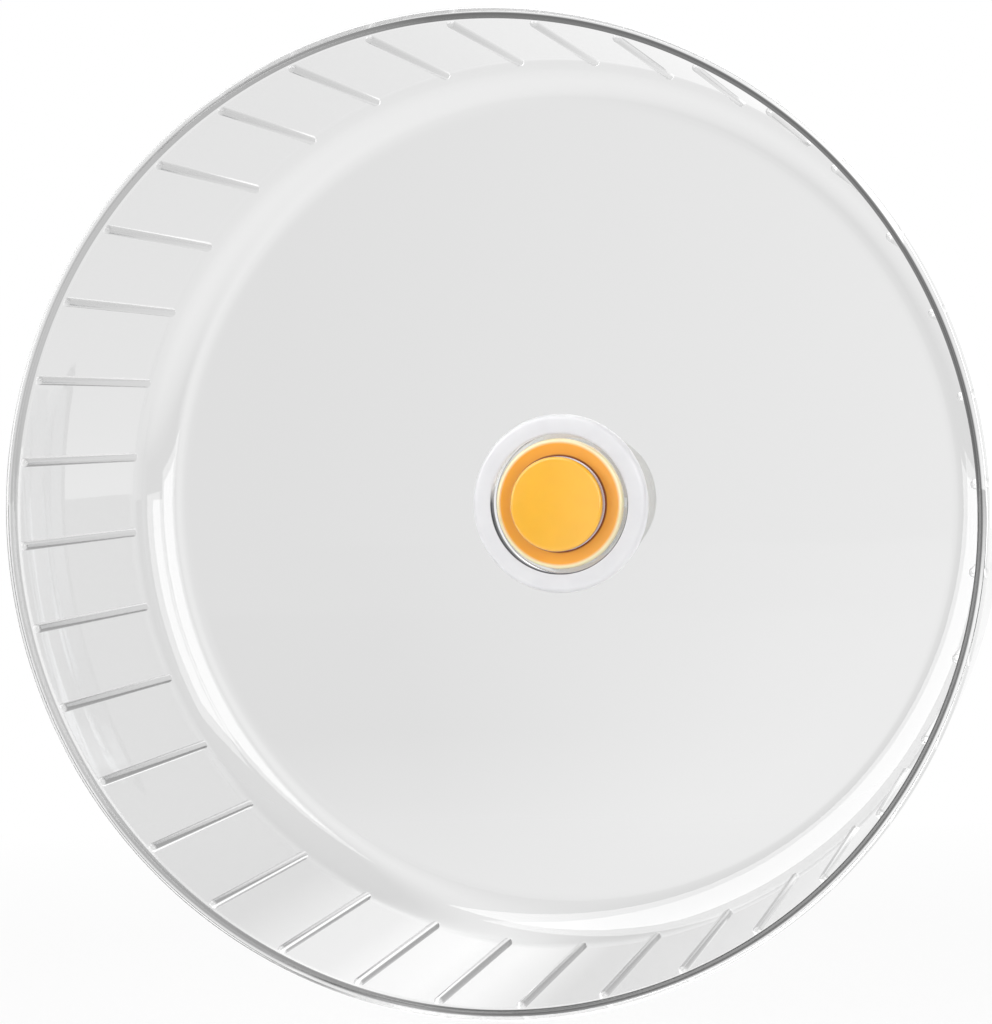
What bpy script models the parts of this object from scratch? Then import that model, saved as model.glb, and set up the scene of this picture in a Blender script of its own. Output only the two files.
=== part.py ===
"""Cage-mounted hamster wheel: a clear one-piece running drum on an orange ball-bearing hub.

Metres, +Z up. The wheel turns about the Y axis, its open mouth faces -Y, and the origin lies
on that axis where the fixed flange's pad meets the cage bars. Everything along the axle is
worked out from that face forwards to the mouth and backwards to the wing nut.
"""

import math

import bmesh
import bpy
from mathutils import Matrix

# Clearances
FIT_GAP = 0.0003  # between pieces that touch on the real wheel
BALL_GAP = 0.0002  # between a ball and its tracks
HUB_RUNNING_GAP = 0.0015  # turning hub to fixed flange
CAP_CLEARANCE = 0.0005  # turning cap to the fixed axle's tip

# Clear drum
RIM_RADIUS = 0.1400
DRUM_DEPTH = 0.0903  # rim plane to the running side of the back disc
BAND_WALL = 0.0023
BAND_DRAFT_DEG = 5.1  # the running band narrows towards the back by this angle
DISC_WALL = 0.0025
BACK_FILLET = 0.0124
BEAD_HEIGHT = 0.0008
BEAD_WIDTH = 0.0040
BEAD_ROUND = 0.0009
RIB_COUNT = 36
RIB_WIDTH = 0.0026
RIB_HEIGHT = 0.00175
RIB_FRONT_GAP = 0.0025  # rim plane to the front ends of the ribs
RIB_PHASE_DEG = 3.6
COLLAR_GAP = 0.0013  # hub flange's edge to the raised collar round it
COLLAR_WALL = 0.0058
COLLAR_HEIGHT = 0.0030
COLLAR_ROUND = 0.0014
BOSS_WALL = 0.0059
BOSS_LENGTH = 0.0060
BOSS_FILLET = 0.0020

# Orange hub
SLEEVE_WALL = 0.0037
HUB_FLANGE_LIP = 0.0043
HUB_FLANGE_THICKNESS = 0.0022
HUB_EDGE_ROUND = 0.0010
LIP_HEIGHT = 0.0017
COUNTERBORE_STEP = 0.0013
CAP_LIP = 0.0014
CAP_WALL = 0.0016
CAP_EDGE_ROUND = 0.0010
CAP_SPIGOT_LENGTH = 0.0012
HUB_NUT_WALL = 0.0037
HUB_NUT_THICKNESS = 0.0050
HUB_NUT_NOTCHES = 6
HUB_NUT_NOTCH_WIDTH = 0.0030
HUB_NUT_NOTCH_DEPTH = 0.0015
SNAP_THICKNESS = 0.0010
SNAP_WIDTH = 0.0023
SNAP_GROOVE_DEPTH = 0.0009
SNAP_OPENING = 0.0050
SNAP_LIP = 0.0012  # sleeve wall behind the snap ring

# Ball bearings
BEARING_BORE_RADIUS = 0.0040
BEARING_SPACING = 0.0050
RACE_WALL = 0.00132  # ring left between a ball track and the bore or the outside
RACE_SHOULDER = 0.0014  # ball centre circle to each ring's shoulder
BALL_COUNT = 7
BALL_RADIUS = 0.00198
SHIELD_THICKNESS = 0.00035
SHIELD_STEP = 0.0007  # recess in the outer ring that holds a shield
SHIELD_INSET = 0.0001
CAGE_RACE_GAP = 0.0006
CAGE_RAIL = 0.0005
CAGE_POCKET_GAP = 0.00027

# Axle and its fastenings
STUD_RADIUS = 0.0040
SHOULDER_RADIUS = 0.0055
SHOULDER_LENGTH = 0.0015
HEX_ACROSS_FLATS = 0.0130
HEX_POCKET_DEPTH = 0.0020
HEX_OVERLAP = 0.0010  # how far the shoulder runs into the hexagon
CLIP_THICKNESS = 0.0009
CLIP_WIDTH = 0.0022
CLIP_GROOVE_DEPTH = 0.0007
CLIP_OPENING = 0.0040
WASHER_THICKNESS = 0.0008
WASHER_WIDTH = 0.0020
AXLE_LAND = 0.0008  # axle tip in front of the clip's groove
AXLE_CHAMFER = 0.0005
SPACER_WALL = 0.0017

# Cage mount
MOUNT_RADIUS = 0.0220
MOUNT_THICKNESS = 0.0050
MOUNT_EDGE_ROUND = 0.0012
PAD_THICKNESS = 0.0020
PAD_MARGIN = 0.0010  # flange or plate edge outside its pad
PAD_RELIEF = 0.0030  # stud to the pad's hole
CLAMP_GAP = 0.0050  # room for the cage bars
CLAMP_RADIUS = 0.0200
CLAMP_THICKNESS = 0.0040
CLAMP_OPENING_TRAVEL = 0.0080
CLAMP_WASHER_WIDTH = 0.0050
CLAMP_WASHER_THICKNESS = 0.0014
NUT_WALL = 0.0032
NUT_LENGTH = 0.0080
EAR_RADIUS = 0.0060
EAR_THICKNESS = 0.0040
EAR_ROOT = 0.0006  # nut wall left between the thread and an ear
EAR_LIFT = 0.0006  # nut face to the ears
STUD_SPARE = 0.0015  # thread past the fully opened nut
STUD_CHAMFER = 0.0008

# How finely round pieces are divided
DRUM_STEPS = 2 * RIB_COUNT
HUB_STEPS = 36
BEARING_STEPS = 24
CAGE_STEPS = 4 * BALL_COUNT
FILLET_STEPS = 5
RACE_STEPS = 4
ROUND_STEPS = 2
EAR_SEGMENTS = 20
BALL_SEGMENTS = 10
BALL_RINGS = 6
SHARP_ANGLE = math.radians(30)
MERGE = 0.000001
CUT_REACH = 4.0  # times longer than the wall it cuts

# Bearing sizes that follow from the balls and the ring walls
TRACK_RADIUS = BALL_RADIUS + BALL_GAP
BALL_PITCH_RADIUS = BEARING_BORE_RADIUS + RACE_WALL + TRACK_RADIUS
BEARING_OUTER_RADIUS = BALL_PITCH_RADIUS + TRACK_RADIUS + RACE_WALL
INNER_RACE_RADIUS = BALL_PITCH_RADIUS - RACE_SHOULDER
OUTER_RACE_RADIUS = BALL_PITCH_RADIUS + RACE_SHOULDER
SHIELD_SEAT_RADIUS = OUTER_RACE_RADIUS + SHIELD_STEP
SHIELD_SEAT_DEPTH = SHIELD_INSET + SHIELD_THICKNESS + FIT_GAP
CAGE_POCKET_RADIUS = BALL_RADIUS + CAGE_POCKET_GAP
CAGE_HALF_LENGTH = CAGE_POCKET_RADIUS + CAGE_RAIL
CAGE_HALF_RADIAL = RACE_SHOULDER - CAGE_RACE_GAP
BEARING_WIDTH = 2.0 * (CAGE_HALF_LENGTH + SHIELD_SEAT_DEPTH)

# Places along the axle, from the cage face at zero: negative is towards the mouth
PAD_FRONT = -PAD_THICKNESS
MOUNT_BACK = PAD_FRONT - FIT_GAP
MOUNT_FRONT = MOUNT_BACK - MOUNT_THICKNESS
SLEEVE_BACK = MOUNT_FRONT - HUB_RUNNING_GAP
SNAP_GROOVE_BACK = SLEEVE_BACK - SNAP_LIP
SNAP_BACK = SNAP_GROOVE_BACK - FIT_GAP
SNAP_FRONT = SNAP_BACK - SNAP_THICKNESS
REAR_BEARING_BACK = SNAP_FRONT - FIT_GAP
REAR_BEARING_FRONT = REAR_BEARING_BACK - BEARING_WIDTH
SPACER_BACK = REAR_BEARING_FRONT - FIT_GAP
SPACER_FRONT = SPACER_BACK - BEARING_SPACING
FRONT_BEARING_BACK = SPACER_FRONT - FIT_GAP
FRONT_BEARING_FRONT = FRONT_BEARING_BACK - BEARING_WIDTH
CAP_SPIGOT_BACK = FRONT_BEARING_FRONT - FIT_GAP
CAP_RIM_BACK = CAP_SPIGOT_BACK - CAP_SPIGOT_LENGTH
HUB_FLANGE_FRONT = CAP_RIM_BACK + FIT_GAP
HUB_FLANGE_BACK = HUB_FLANGE_FRONT + HUB_FLANGE_THICKNESS
DISC_FACE = HUB_FLANGE_BACK + FIT_GAP
DISC_BACK = DISC_FACE + DISC_WALL
RIM_PLANE = DISC_FACE - DRUM_DEPTH
BOSS_BACK = DISC_BACK + BOSS_LENGTH
HUB_NUT_FRONT = BOSS_BACK + FIT_GAP
HUB_NUT_BACK = HUB_NUT_FRONT + HUB_NUT_THICKNESS
WASHER_BACK = FRONT_BEARING_FRONT - FIT_GAP
WASHER_FRONT = WASHER_BACK - WASHER_THICKNESS
CLIP_BACK = WASHER_FRONT - FIT_GAP
CLIP_FRONT = CLIP_BACK - CLIP_THICKNESS
CLIP_GROOVE_FRONT = CLIP_FRONT - FIT_GAP
CLIP_GROOVE_BACK = CLIP_BACK + FIT_GAP
AXLE_FRONT = CLIP_GROOVE_FRONT - AXLE_LAND
CAP_INSIDE = AXLE_FRONT - CAP_CLEARANCE
CAP_FRONT = CAP_INSIDE - CAP_WALL
SHOULDER_FRONT = REAR_BEARING_BACK + FIT_GAP
HEX_FRONT = SHOULDER_FRONT + SHOULDER_LENGTH
HEX_POCKET_FLOOR = MOUNT_FRONT + HEX_POCKET_DEPTH
HEX_BACK = HEX_POCKET_FLOOR - FIT_GAP
CLAMP_PAD_BACK = CLAMP_GAP + PAD_THICKNESS
CLAMP_FRONT = CLAMP_PAD_BACK + FIT_GAP
CLAMP_BACK = CLAMP_FRONT + CLAMP_THICKNESS
CLAMP_WASHER_FRONT = CLAMP_BACK + FIT_GAP
CLAMP_WASHER_BACK = CLAMP_WASHER_FRONT + CLAMP_WASHER_THICKNESS
NUT_FRONT = CLAMP_WASHER_BACK + FIT_GAP
NUT_BACK = NUT_FRONT + NUT_LENGTH
STUD_BACK = NUT_BACK + CLAMP_OPENING_TRAVEL + STUD_SPARE

# Radii that follow from a neighbour
JOURNAL_RADIUS = BEARING_BORE_RADIUS - FIT_GAP
HOUSING_RADIUS = BEARING_OUTER_RADIUS + FIT_GAP
SLEEVE_RADIUS = HOUSING_RADIUS + SLEEVE_WALL
DRUM_BORE_RADIUS = SLEEVE_RADIUS + FIT_GAP
BOSS_RADIUS = DRUM_BORE_RADIUS + BOSS_WALL
HUB_FLANGE_RADIUS = SLEEVE_RADIUS + HUB_FLANGE_LIP
COLLAR_INNER_RADIUS = HUB_FLANGE_RADIUS + COLLAR_GAP
COLLAR_OUTER_RADIUS = COLLAR_INNER_RADIUS + COLLAR_WALL
COUNTERBORE_RADIUS = HOUSING_RADIUS + COUNTERBORE_STEP
CAP_RADIUS = COUNTERBORE_RADIUS + CAP_LIP
CAP_SPIGOT_RADIUS = COUNTERBORE_RADIUS - FIT_GAP
STUD_HOLE_RADIUS = STUD_RADIUS + FIT_GAP
NUT_RADIUS = STUD_HOLE_RADIUS + NUT_WALL

# The band's slope, and the circle that rounds the band into the back disc
DRAFT = math.radians(BAND_DRAFT_DEG)
BAND_FRONT_RADIUS = RIM_RADIUS - BEAD_HEIGHT - BAND_WALL / math.cos(DRAFT)
FILLET_Y = DISC_FACE - BACK_FILLET
BAND_DROP = (FILLET_Y - RIM_PLANE) * math.sin(DRAFT)
FILLET_RADIUS_POINT = BAND_FRONT_RADIUS - (BACK_FILLET + BAND_DROP) / math.cos(DRAFT)


def clear_scene():
    for old in list(bpy.data.objects):
        bpy.data.objects.remove(old, do_unlink=True)


def new_collection(name):
    group = bpy.data.collections.new(name)
    bpy.context.scene.collection.children.link(group)
    return group


def new_finish(name, colour, roughness, metallic=0.0, transmission=0.0):
    """A plain surface finish: linear colour, roughness, metal or not, clear or not."""
    finish = bpy.data.materials.new(name)
    finish.use_nodes = True
    shader = finish.node_tree.nodes["Principled BSDF"]
    shader.inputs["Base Color"].default_value = (*colour, 1.0)
    shader.inputs["Roughness"].default_value = roughness
    shader.inputs["Metallic"].default_value = metallic
    shader.inputs["Transmission Weight"].default_value = transmission
    finish.diffuse_color = (*colour, 1.0 - 0.7 * transmission)
    return finish


def new_object(name, mesh, finish, group):
    obj = bpy.data.objects.new(name, mesh)
    obj.data.materials.append(finish)
    group.objects.link(obj)
    return obj


def arc(centre_r, centre_y, radius, start_deg, end_deg, steps):
    """Points of an arc in the (radius, y) plane, 0 degrees outwards and 90 degrees to the back."""
    points = []
    for i in range(steps + 1):
        angle = math.radians(start_deg + (end_deg - start_deg) * i / steps)
        points.append((centre_r + radius * math.cos(angle), centre_y + radius * math.sin(angle)))
    return points


def signed_area(outline):
    pairs = zip(outline, outline[1:] + outline[:1])
    return sum(a[0] * b[1] - b[0] * a[1] for a, b in pairs) / 2.0


def turned(name, outline, steps, finish, start=0.0):
    """Spin a closed (radius, y) outline about the Y axis. An edge on the axis itself is left out."""
    ordered = list(reversed(outline)) if signed_area(outline) > 0.0 else list(outline)
    count = len(ordered)
    points = [(r * math.cos(start), r * math.sin(start), y) for r, y in ordered]
    edges = []
    for i in range(count):
        j = (i + 1) % count
        if ordered[i][0] > 0.0 or ordered[j][0] > 0.0:
            edges.append((i, j))
    mesh = bpy.data.meshes.new(name)
    mesh.from_pydata(points, edges, [])
    obj = new_object(name, mesh, finish, PARTS)
    obj.rotation_euler.x = -math.pi / 2.0
    spin = obj.modifiers.new("spin", "SCREW")
    spin.axis = "Z"
    spin.angle = 2.0 * math.pi
    spin.steps = steps
    spin.render_steps = steps
    spin.use_merge_vertices = True
    spin.merge_threshold = MERGE
    return obj


def turned_ring(name, inner, outer, front, back, steps, finish):
    return turned(name, [(inner, front), (outer, front), (outer, back), (inner, back)], steps, finish)


def tool(name, build):
    """A mesh that only cuts or joins another piece."""
    mesh = bpy.data.meshes.new(name)
    work = bmesh.new()
    build(work)
    work.to_mesh(mesh)
    work.free()
    obj = bpy.data.objects.new(name, mesh)
    obj.hide_render = True
    obj.display_type = "WIRE"
    CUTTERS.objects.link(obj)
    return obj


def combine(obj, other, operation):
    change = obj.modifiers.new(operation.lower(), "BOOLEAN")
    change.operation = operation
    change.solver = "EXACT"
    change.object = other


def settle(obj):
    """Make the modifiers real, shade round stretches smooth and keep the corners sharp."""
    bpy.context.view_layer.update()
    graph = bpy.context.evaluated_depsgraph_get()
    mesh = bpy.data.meshes.new_from_object(obj.evaluated_get(graph), depsgraph=graph)
    obj.modifiers.clear()
    obj.data = mesh
    mesh.shade_smooth()
    mesh.set_sharp_from_angle(angle=SHARP_ANGLE)
    return obj


def around(angle):
    """Turn about the Y axis, from +X towards +Z."""
    return Matrix.Rotation(-angle, 4, "Y")


def box_matrix(size_x, size_y, size_z):
    return Matrix.Diagonal((size_x, size_y, size_z, 1.0))


def new_axis(name, parent=None):
    """An empty on the wheel's axis that carries pieces which move together."""
    axis = bpy.data.objects.new(name, None)
    axis.empty_display_size = RIM_RADIUS / 4.0
    axis.parent = parent
    PARTS.objects.link(axis)
    return axis


def carry(axis, pieces):
    for piece in pieces:
        piece.parent = axis


def drum_outline():
    """Half section of the drum, from the hub bore along the inside to the rim and back outside."""
    collar_round = min(COLLAR_ROUND, COLLAR_HEIGHT)
    collar_front = DISC_FACE - COLLAR_HEIGHT
    collar = [
        (DRUM_BORE_RADIUS, DISC_FACE),
        (COLLAR_INNER_RADIUS, DISC_FACE),
        (COLLAR_INNER_RADIUS, collar_front),
    ]
    round_r = COLLAR_OUTER_RADIUS - collar_round
    collar += arc(round_r, collar_front + collar_round, collar_round, 270.0, 360.0, ROUND_STEPS)
    collar += [(COLLAR_OUTER_RADIUS, DISC_FACE)]
    inside = arc(FILLET_RADIUS_POINT, FILLET_Y, BACK_FILLET, 90.0, BAND_DRAFT_DEG, FILLET_STEPS)
    rim_y = RIM_PLANE + BEAD_ROUND
    rim = arc(BAND_FRONT_RADIUS + BEAD_ROUND, rim_y, BEAD_ROUND, 180.0, 270.0, ROUND_STEPS)
    rim += arc(RIM_RADIUS - BEAD_ROUND, rim_y, BEAD_ROUND, 270.0, 360.0, ROUND_STEPS)
    bead_foot = BEAD_WIDTH + BEAD_HEIGHT
    rim += [
        (RIM_RADIUS, RIM_PLANE + BEAD_WIDTH),
        (RIM_RADIUS - BEAD_HEIGHT - bead_foot * math.tan(DRAFT), RIM_PLANE + bead_foot),
    ]
    outside = []
    for i in range(FILLET_STEPS + 1):
        share = i / FILLET_STEPS
        wall = BAND_WALL + (DISC_WALL - BAND_WALL) * share
        angle = DRAFT + (math.pi / 2.0 - DRAFT) * share
        reach = BACK_FILLET + wall
        outside.append((FILLET_RADIUS_POINT + reach * math.cos(angle), FILLET_Y + reach * math.sin(angle)))
    boss_round = min(BOSS_FILLET, BOSS_LENGTH)
    boss = arc(BOSS_RADIUS + boss_round, DISC_BACK + boss_round, boss_round, 270.0, 180.0, ROUND_STEPS)
    boss += [(BOSS_RADIUS, BOSS_BACK), (DRUM_BORE_RADIUS, BOSS_BACK)]
    return collar + inside + rim + outside + boss


def build_ribs(work):
    """Straight ribs along the sloped inside of the band, sunk halfway into its wall."""
    front = RIM_PLANE + RIB_FRONT_GAP
    back = FILLET_Y + BACK_FILLET * math.sin(DRAFT)
    middle = (front + back) / 2.0
    sink = BAND_WALL / 2.0
    offset = (sink - RIB_HEIGHT) / 2.0
    radius = BAND_FRONT_RADIUS - (middle - RIM_PLANE) * math.tan(DRAFT)
    place = Matrix.Translation((radius, middle, 0.0)) @ Matrix.Rotation(DRAFT, 4, "Z")
    size = box_matrix(RIB_HEIGHT + sink, (back - front) / math.cos(DRAFT), RIB_WIDTH)
    for i in range(RIB_COUNT):
        turn = around(math.radians(RIB_PHASE_DEG) + 2.0 * math.pi * i / RIB_COUNT)
        shift = Matrix.Translation((offset, 0.0, 0.0))
        bmesh.ops.create_cube(work, size=1.0, matrix=turn @ place @ shift @ size)


def make_drum(finish):
    """The drum starts half a step past the first rib, so that each rib stands on the middle of a flat."""
    start = -math.radians(RIB_PHASE_DEG) + math.pi / DRUM_STEPS
    drum = turned("drum", drum_outline(), DRUM_STEPS, finish, start)
    combine(drum, tool("drum_ribs", build_ribs), "UNION")
    return settle(drum)


def make_hub_sleeve(finish):
    flange = [(COUNTERBORE_RADIUS, HUB_FLANGE_FRONT)]
    flange += arc(
        HUB_FLANGE_RADIUS - HUB_EDGE_ROUND,
        HUB_FLANGE_FRONT + HUB_EDGE_ROUND,
        HUB_EDGE_ROUND,
        270.0,
        360.0,
        ROUND_STEPS,
    )
    flange += [(HUB_FLANGE_RADIUS, HUB_FLANGE_BACK)]
    barrel = [
        (SLEEVE_RADIUS, HUB_FLANGE_BACK),
        (SLEEVE_RADIUS, SLEEVE_BACK),
        (HOUSING_RADIUS, SLEEVE_BACK),
    ]
    groove_radius = HOUSING_RADIUS + SNAP_GROOVE_DEPTH
    groove = [
        (HOUSING_RADIUS, SNAP_GROOVE_BACK),
        (groove_radius, SNAP_GROOVE_BACK),
        (groove_radius, REAR_BEARING_BACK),
        (HOUSING_RADIUS, REAR_BEARING_BACK),
    ]
    lip_radius = HOUSING_RADIUS - LIP_HEIGHT
    lip = [
        (HOUSING_RADIUS, SPACER_BACK),
        (lip_radius, SPACER_BACK),
        (lip_radius, SPACER_FRONT),
        (HOUSING_RADIUS, SPACER_FRONT),
    ]
    mouth = [(HOUSING_RADIUS, FRONT_BEARING_FRONT), (COUNTERBORE_RADIUS, FRONT_BEARING_FRONT)]
    return settle(turned("hub_sleeve", flange + barrel + groove + lip + mouth, HUB_STEPS, finish))


def make_hub_cap(finish):
    edge = arc(
        CAP_RADIUS - CAP_EDGE_ROUND, CAP_FRONT + CAP_EDGE_ROUND, CAP_EDGE_ROUND, 270.0, 360.0, ROUND_STEPS
    )
    inside = CAP_SPIGOT_RADIUS - CAP_WALL
    skirt = [
        (CAP_RADIUS, CAP_RIM_BACK),
        (CAP_SPIGOT_RADIUS, CAP_RIM_BACK),
        (CAP_SPIGOT_RADIUS, CAP_SPIGOT_BACK),
        (inside, CAP_SPIGOT_BACK),
        (inside, CAP_INSIDE),
        (0.0, CAP_INSIDE),
    ]
    return settle(turned("hub_cap", [(0.0, CAP_FRONT)] + edge + skirt, HUB_STEPS, finish))


def make_hub_nut(finish):
    bore = SLEEVE_RADIUS + FIT_GAP
    outside = bore + HUB_NUT_WALL
    nut = turned_ring("hub_nut", bore, outside, HUB_NUT_FRONT, HUB_NUT_BACK, HUB_STEPS, finish)
    middle = (HUB_NUT_FRONT + HUB_NUT_BACK) / 2.0
    size = box_matrix(2.0 * HUB_NUT_NOTCH_DEPTH, 2.0 * HUB_NUT_THICKNESS, HUB_NUT_NOTCH_WIDTH)

    def build_notches(work):
        for i in range(HUB_NUT_NOTCHES):
            turn = around(2.0 * math.pi * i / HUB_NUT_NOTCHES)
            place = Matrix.Translation((outside, middle, 0.0))
            bmesh.ops.create_cube(work, size=1.0, matrix=turn @ place @ size)

    combine(nut, tool("hub_nut_notches", build_notches), "DIFFERENCE")
    return settle(nut)


def split_ring(name, inner, outer, front, back, opening, finish):
    """A flat spring ring that is open at its top."""
    ring = turned_ring(name, inner, outer, front, back, BEARING_STEPS, finish)
    place = Matrix.Translation((0.0, (front + back) / 2.0, outer))
    size = box_matrix(opening, CUT_REACH * (back - front), CUT_REACH * (outer - inner))

    def build_opening(work):
        bmesh.ops.create_cube(work, size=1.0, matrix=place @ size)

    combine(ring, tool(name + "_opening", build_opening), "DIFFERENCE")
    return settle(ring)


def make_snap_ring(finish):
    outer = HOUSING_RADIUS + SNAP_GROOVE_DEPTH - FIT_GAP
    return split_ring("snap_ring", outer - SNAP_WIDTH, outer, SNAP_FRONT, SNAP_BACK, SNAP_OPENING, finish)


def make_axle_clip(finish):
    inner = JOURNAL_RADIUS - CLIP_GROOVE_DEPTH + FIT_GAP
    return split_ring("axle_clip", inner, inner + CLIP_WIDTH, CLIP_FRONT, CLIP_BACK, CLIP_OPENING, finish)


def track_half_angle():
    return math.degrees(math.acos(RACE_SHOULDER / TRACK_RADIUS))


def make_inner_ring(name, front, back, finish):
    half = track_half_angle()
    middle = (front + back) / 2.0
    race = arc(BALL_PITCH_RADIUS, middle, TRACK_RADIUS, 180.0 + half, 180.0 - half, RACE_STEPS)
    face = [(BEARING_BORE_RADIUS, front), (INNER_RACE_RADIUS, front)]
    rest = [(INNER_RACE_RADIUS, back), (BEARING_BORE_RADIUS, back)]
    return settle(turned(name, face + race + rest, BEARING_STEPS, finish))


def make_outer_ring(name, front, back, finish):
    half = track_half_angle()
    middle = (front + back) / 2.0
    race = arc(BALL_PITCH_RADIUS, middle, TRACK_RADIUS, half, -half, RACE_STEPS)
    outside = [(BEARING_OUTER_RADIUS, front), (BEARING_OUTER_RADIUS, back)]
    back_seat = [
        (SHIELD_SEAT_RADIUS, back),
        (SHIELD_SEAT_RADIUS, back - SHIELD_SEAT_DEPTH),
        (OUTER_RACE_RADIUS, back - SHIELD_SEAT_DEPTH),
    ]
    front_seat = [
        (OUTER_RACE_RADIUS, front + SHIELD_SEAT_DEPTH),
        (SHIELD_SEAT_RADIUS, front + SHIELD_SEAT_DEPTH),
        (SHIELD_SEAT_RADIUS, front),
    ]
    return settle(turned(name, outside + back_seat + race + front_seat, BEARING_STEPS, finish))


def make_shield(name, front, finish):
    inner = INNER_RACE_RADIUS + FIT_GAP
    outer = SHIELD_SEAT_RADIUS - FIT_GAP
    return settle(turned_ring(name, inner, outer, front, front + SHIELD_THICKNESS, BEARING_STEPS, finish))


def make_ball_cage(name, middle, finish):
    """A ring with one round window for each ball."""
    inner = BALL_PITCH_RADIUS - CAGE_HALF_RADIAL
    outer = BALL_PITCH_RADIUS + CAGE_HALF_RADIAL
    front = middle - CAGE_HALF_LENGTH
    back = middle + CAGE_HALF_LENGTH
    cage = turned_ring(name, inner, outer, front, back, CAGE_STEPS, finish)
    lie_outwards = Matrix.Rotation(math.pi / 2.0, 4, "Y")
    place = Matrix.Translation((BALL_PITCH_RADIUS, middle, 0.0))

    def build_windows(work):
        for i in range(BALL_COUNT):
            bmesh.ops.create_cone(
                work,
                cap_ends=True,
                segments=BALL_SEGMENTS,
                radius1=CAGE_POCKET_RADIUS,
                radius2=CAGE_POCKET_RADIUS,
                depth=CUT_REACH * CAGE_HALF_RADIAL,
                matrix=around(ball_angle(i)) @ place @ lie_outwards,
            )

    combine(cage, tool(name + "_windows", build_windows), "DIFFERENCE")
    return settle(cage)


def ball_angle(index):
    return 2.0 * math.pi * index / BALL_COUNT


def make_ball(name, index, middle, finish):
    mesh = bpy.data.meshes.new(name)
    work = bmesh.new()
    bmesh.ops.create_uvsphere(work, u_segments=BALL_SEGMENTS, v_segments=BALL_RINGS, radius=BALL_RADIUS)
    work.to_mesh(mesh)
    work.free()
    mesh.shade_smooth()
    ball = new_object(name, mesh, finish, PARTS)
    angle = ball_angle(index)
    ball.location = (BALL_PITCH_RADIUS * math.cos(angle), middle, BALL_PITCH_RADIUS * math.sin(angle))
    return ball


def make_bearing(side, front, back, fixed, turning):
    """One shielded ball bearing: the outer ring turns with the wheel, the balls roll at their own rate."""
    middle = (front + back) / 2.0
    make_inner_ring(side + "_inner_ring", front, back, BEARING_STEEL).parent = fixed
    outer = make_outer_ring(side + "_outer_ring", front, back, BEARING_STEEL)
    back_face = back - SHIELD_INSET - SHIELD_THICKNESS
    front_shield = make_shield(side + "_front_shield", front + SHIELD_INSET, BRIGHT_STEEL)
    back_shield = make_shield(side + "_back_shield", back_face, BRIGHT_STEEL)
    carry(turning, [outer, front_shield, back_shield])
    balls = [make_ball_cage(side + "_ball_cage", middle, CAGE_PLASTIC)]
    for i in range(BALL_COUNT):
        balls.append(make_ball(f"{side}_ball_{i + 1}", i, middle, BALL_STEEL))
    carry(new_axis(side + "_ball_axis", fixed), balls)


def build_hex(work, across_flats, front, back):
    radius = across_flats / 2.0 / math.cos(math.pi / 6.0)
    middle = Matrix.Translation((0.0, (front + back) / 2.0, 0.0))
    lie_along = Matrix.Rotation(math.pi / 2.0, 4, "X")
    bmesh.ops.create_cone(
        work,
        cap_ends=True,
        segments=6,
        radius1=radius,
        radius2=radius,
        depth=back - front,
        matrix=middle @ lie_along,
    )


def make_axle(finish):
    """Bearing journal with a clip groove, a shoulder, a hexagon that keys into the flange, and a stud."""
    groove_radius = JOURNAL_RADIUS - CLIP_GROOVE_DEPTH
    outline = [
        (0.0, AXLE_FRONT),
        (JOURNAL_RADIUS - AXLE_CHAMFER, AXLE_FRONT),
        (JOURNAL_RADIUS, AXLE_FRONT + AXLE_CHAMFER),
        (JOURNAL_RADIUS, CLIP_GROOVE_FRONT),
        (groove_radius, CLIP_GROOVE_FRONT),
        (groove_radius, CLIP_GROOVE_BACK),
        (JOURNAL_RADIUS, CLIP_GROOVE_BACK),
        (JOURNAL_RADIUS, SHOULDER_FRONT),
        (SHOULDER_RADIUS, SHOULDER_FRONT),
        (SHOULDER_RADIUS, HEX_FRONT + HEX_OVERLAP),
        (STUD_RADIUS, HEX_FRONT + HEX_OVERLAP),
        (STUD_RADIUS, STUD_BACK - STUD_CHAMFER),
        (STUD_RADIUS - STUD_CHAMFER, STUD_BACK),
        (0.0, STUD_BACK),
    ]
    axle = turned("axle", outline, BEARING_STEPS, finish)
    collar = tool("axle_hexagon", lambda work: build_hex(work, HEX_ACROSS_FLATS, HEX_FRONT, HEX_BACK))
    combine(axle, collar, "UNION")
    return settle(axle)


def make_mount_flange(finish):
    edge = arc(
        MOUNT_RADIUS - MOUNT_EDGE_ROUND,
        MOUNT_FRONT + MOUNT_EDGE_ROUND,
        MOUNT_EDGE_ROUND,
        270.0,
        360.0,
        ROUND_STEPS,
    )
    back = [(MOUNT_RADIUS, MOUNT_BACK), (STUD_HOLE_RADIUS, MOUNT_BACK)]
    flange = turned("mount_flange", [(STUD_HOLE_RADIUS, MOUNT_FRONT)] + edge + back, HUB_STEPS, finish)
    across = HEX_ACROSS_FLATS + 2.0 * FIT_GAP
    above = MOUNT_FRONT - HEX_POCKET_DEPTH
    pocket = tool("mount_flange_pocket", lambda work: build_hex(work, across, above, HEX_POCKET_FLOOR))
    combine(flange, pocket, "DIFFERENCE")
    return settle(flange)


def make_washer(name, inner, width, front, back, finish):
    return settle(turned_ring(name, inner, inner + width, front, back, BEARING_STEPS, finish))


def make_pad(name, outside, front, finish):
    hole = STUD_RADIUS + PAD_RELIEF
    edge = outside - PAD_MARGIN
    return settle(turned_ring(name, hole, edge, front, front + PAD_THICKNESS, HUB_STEPS, finish))


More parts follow.
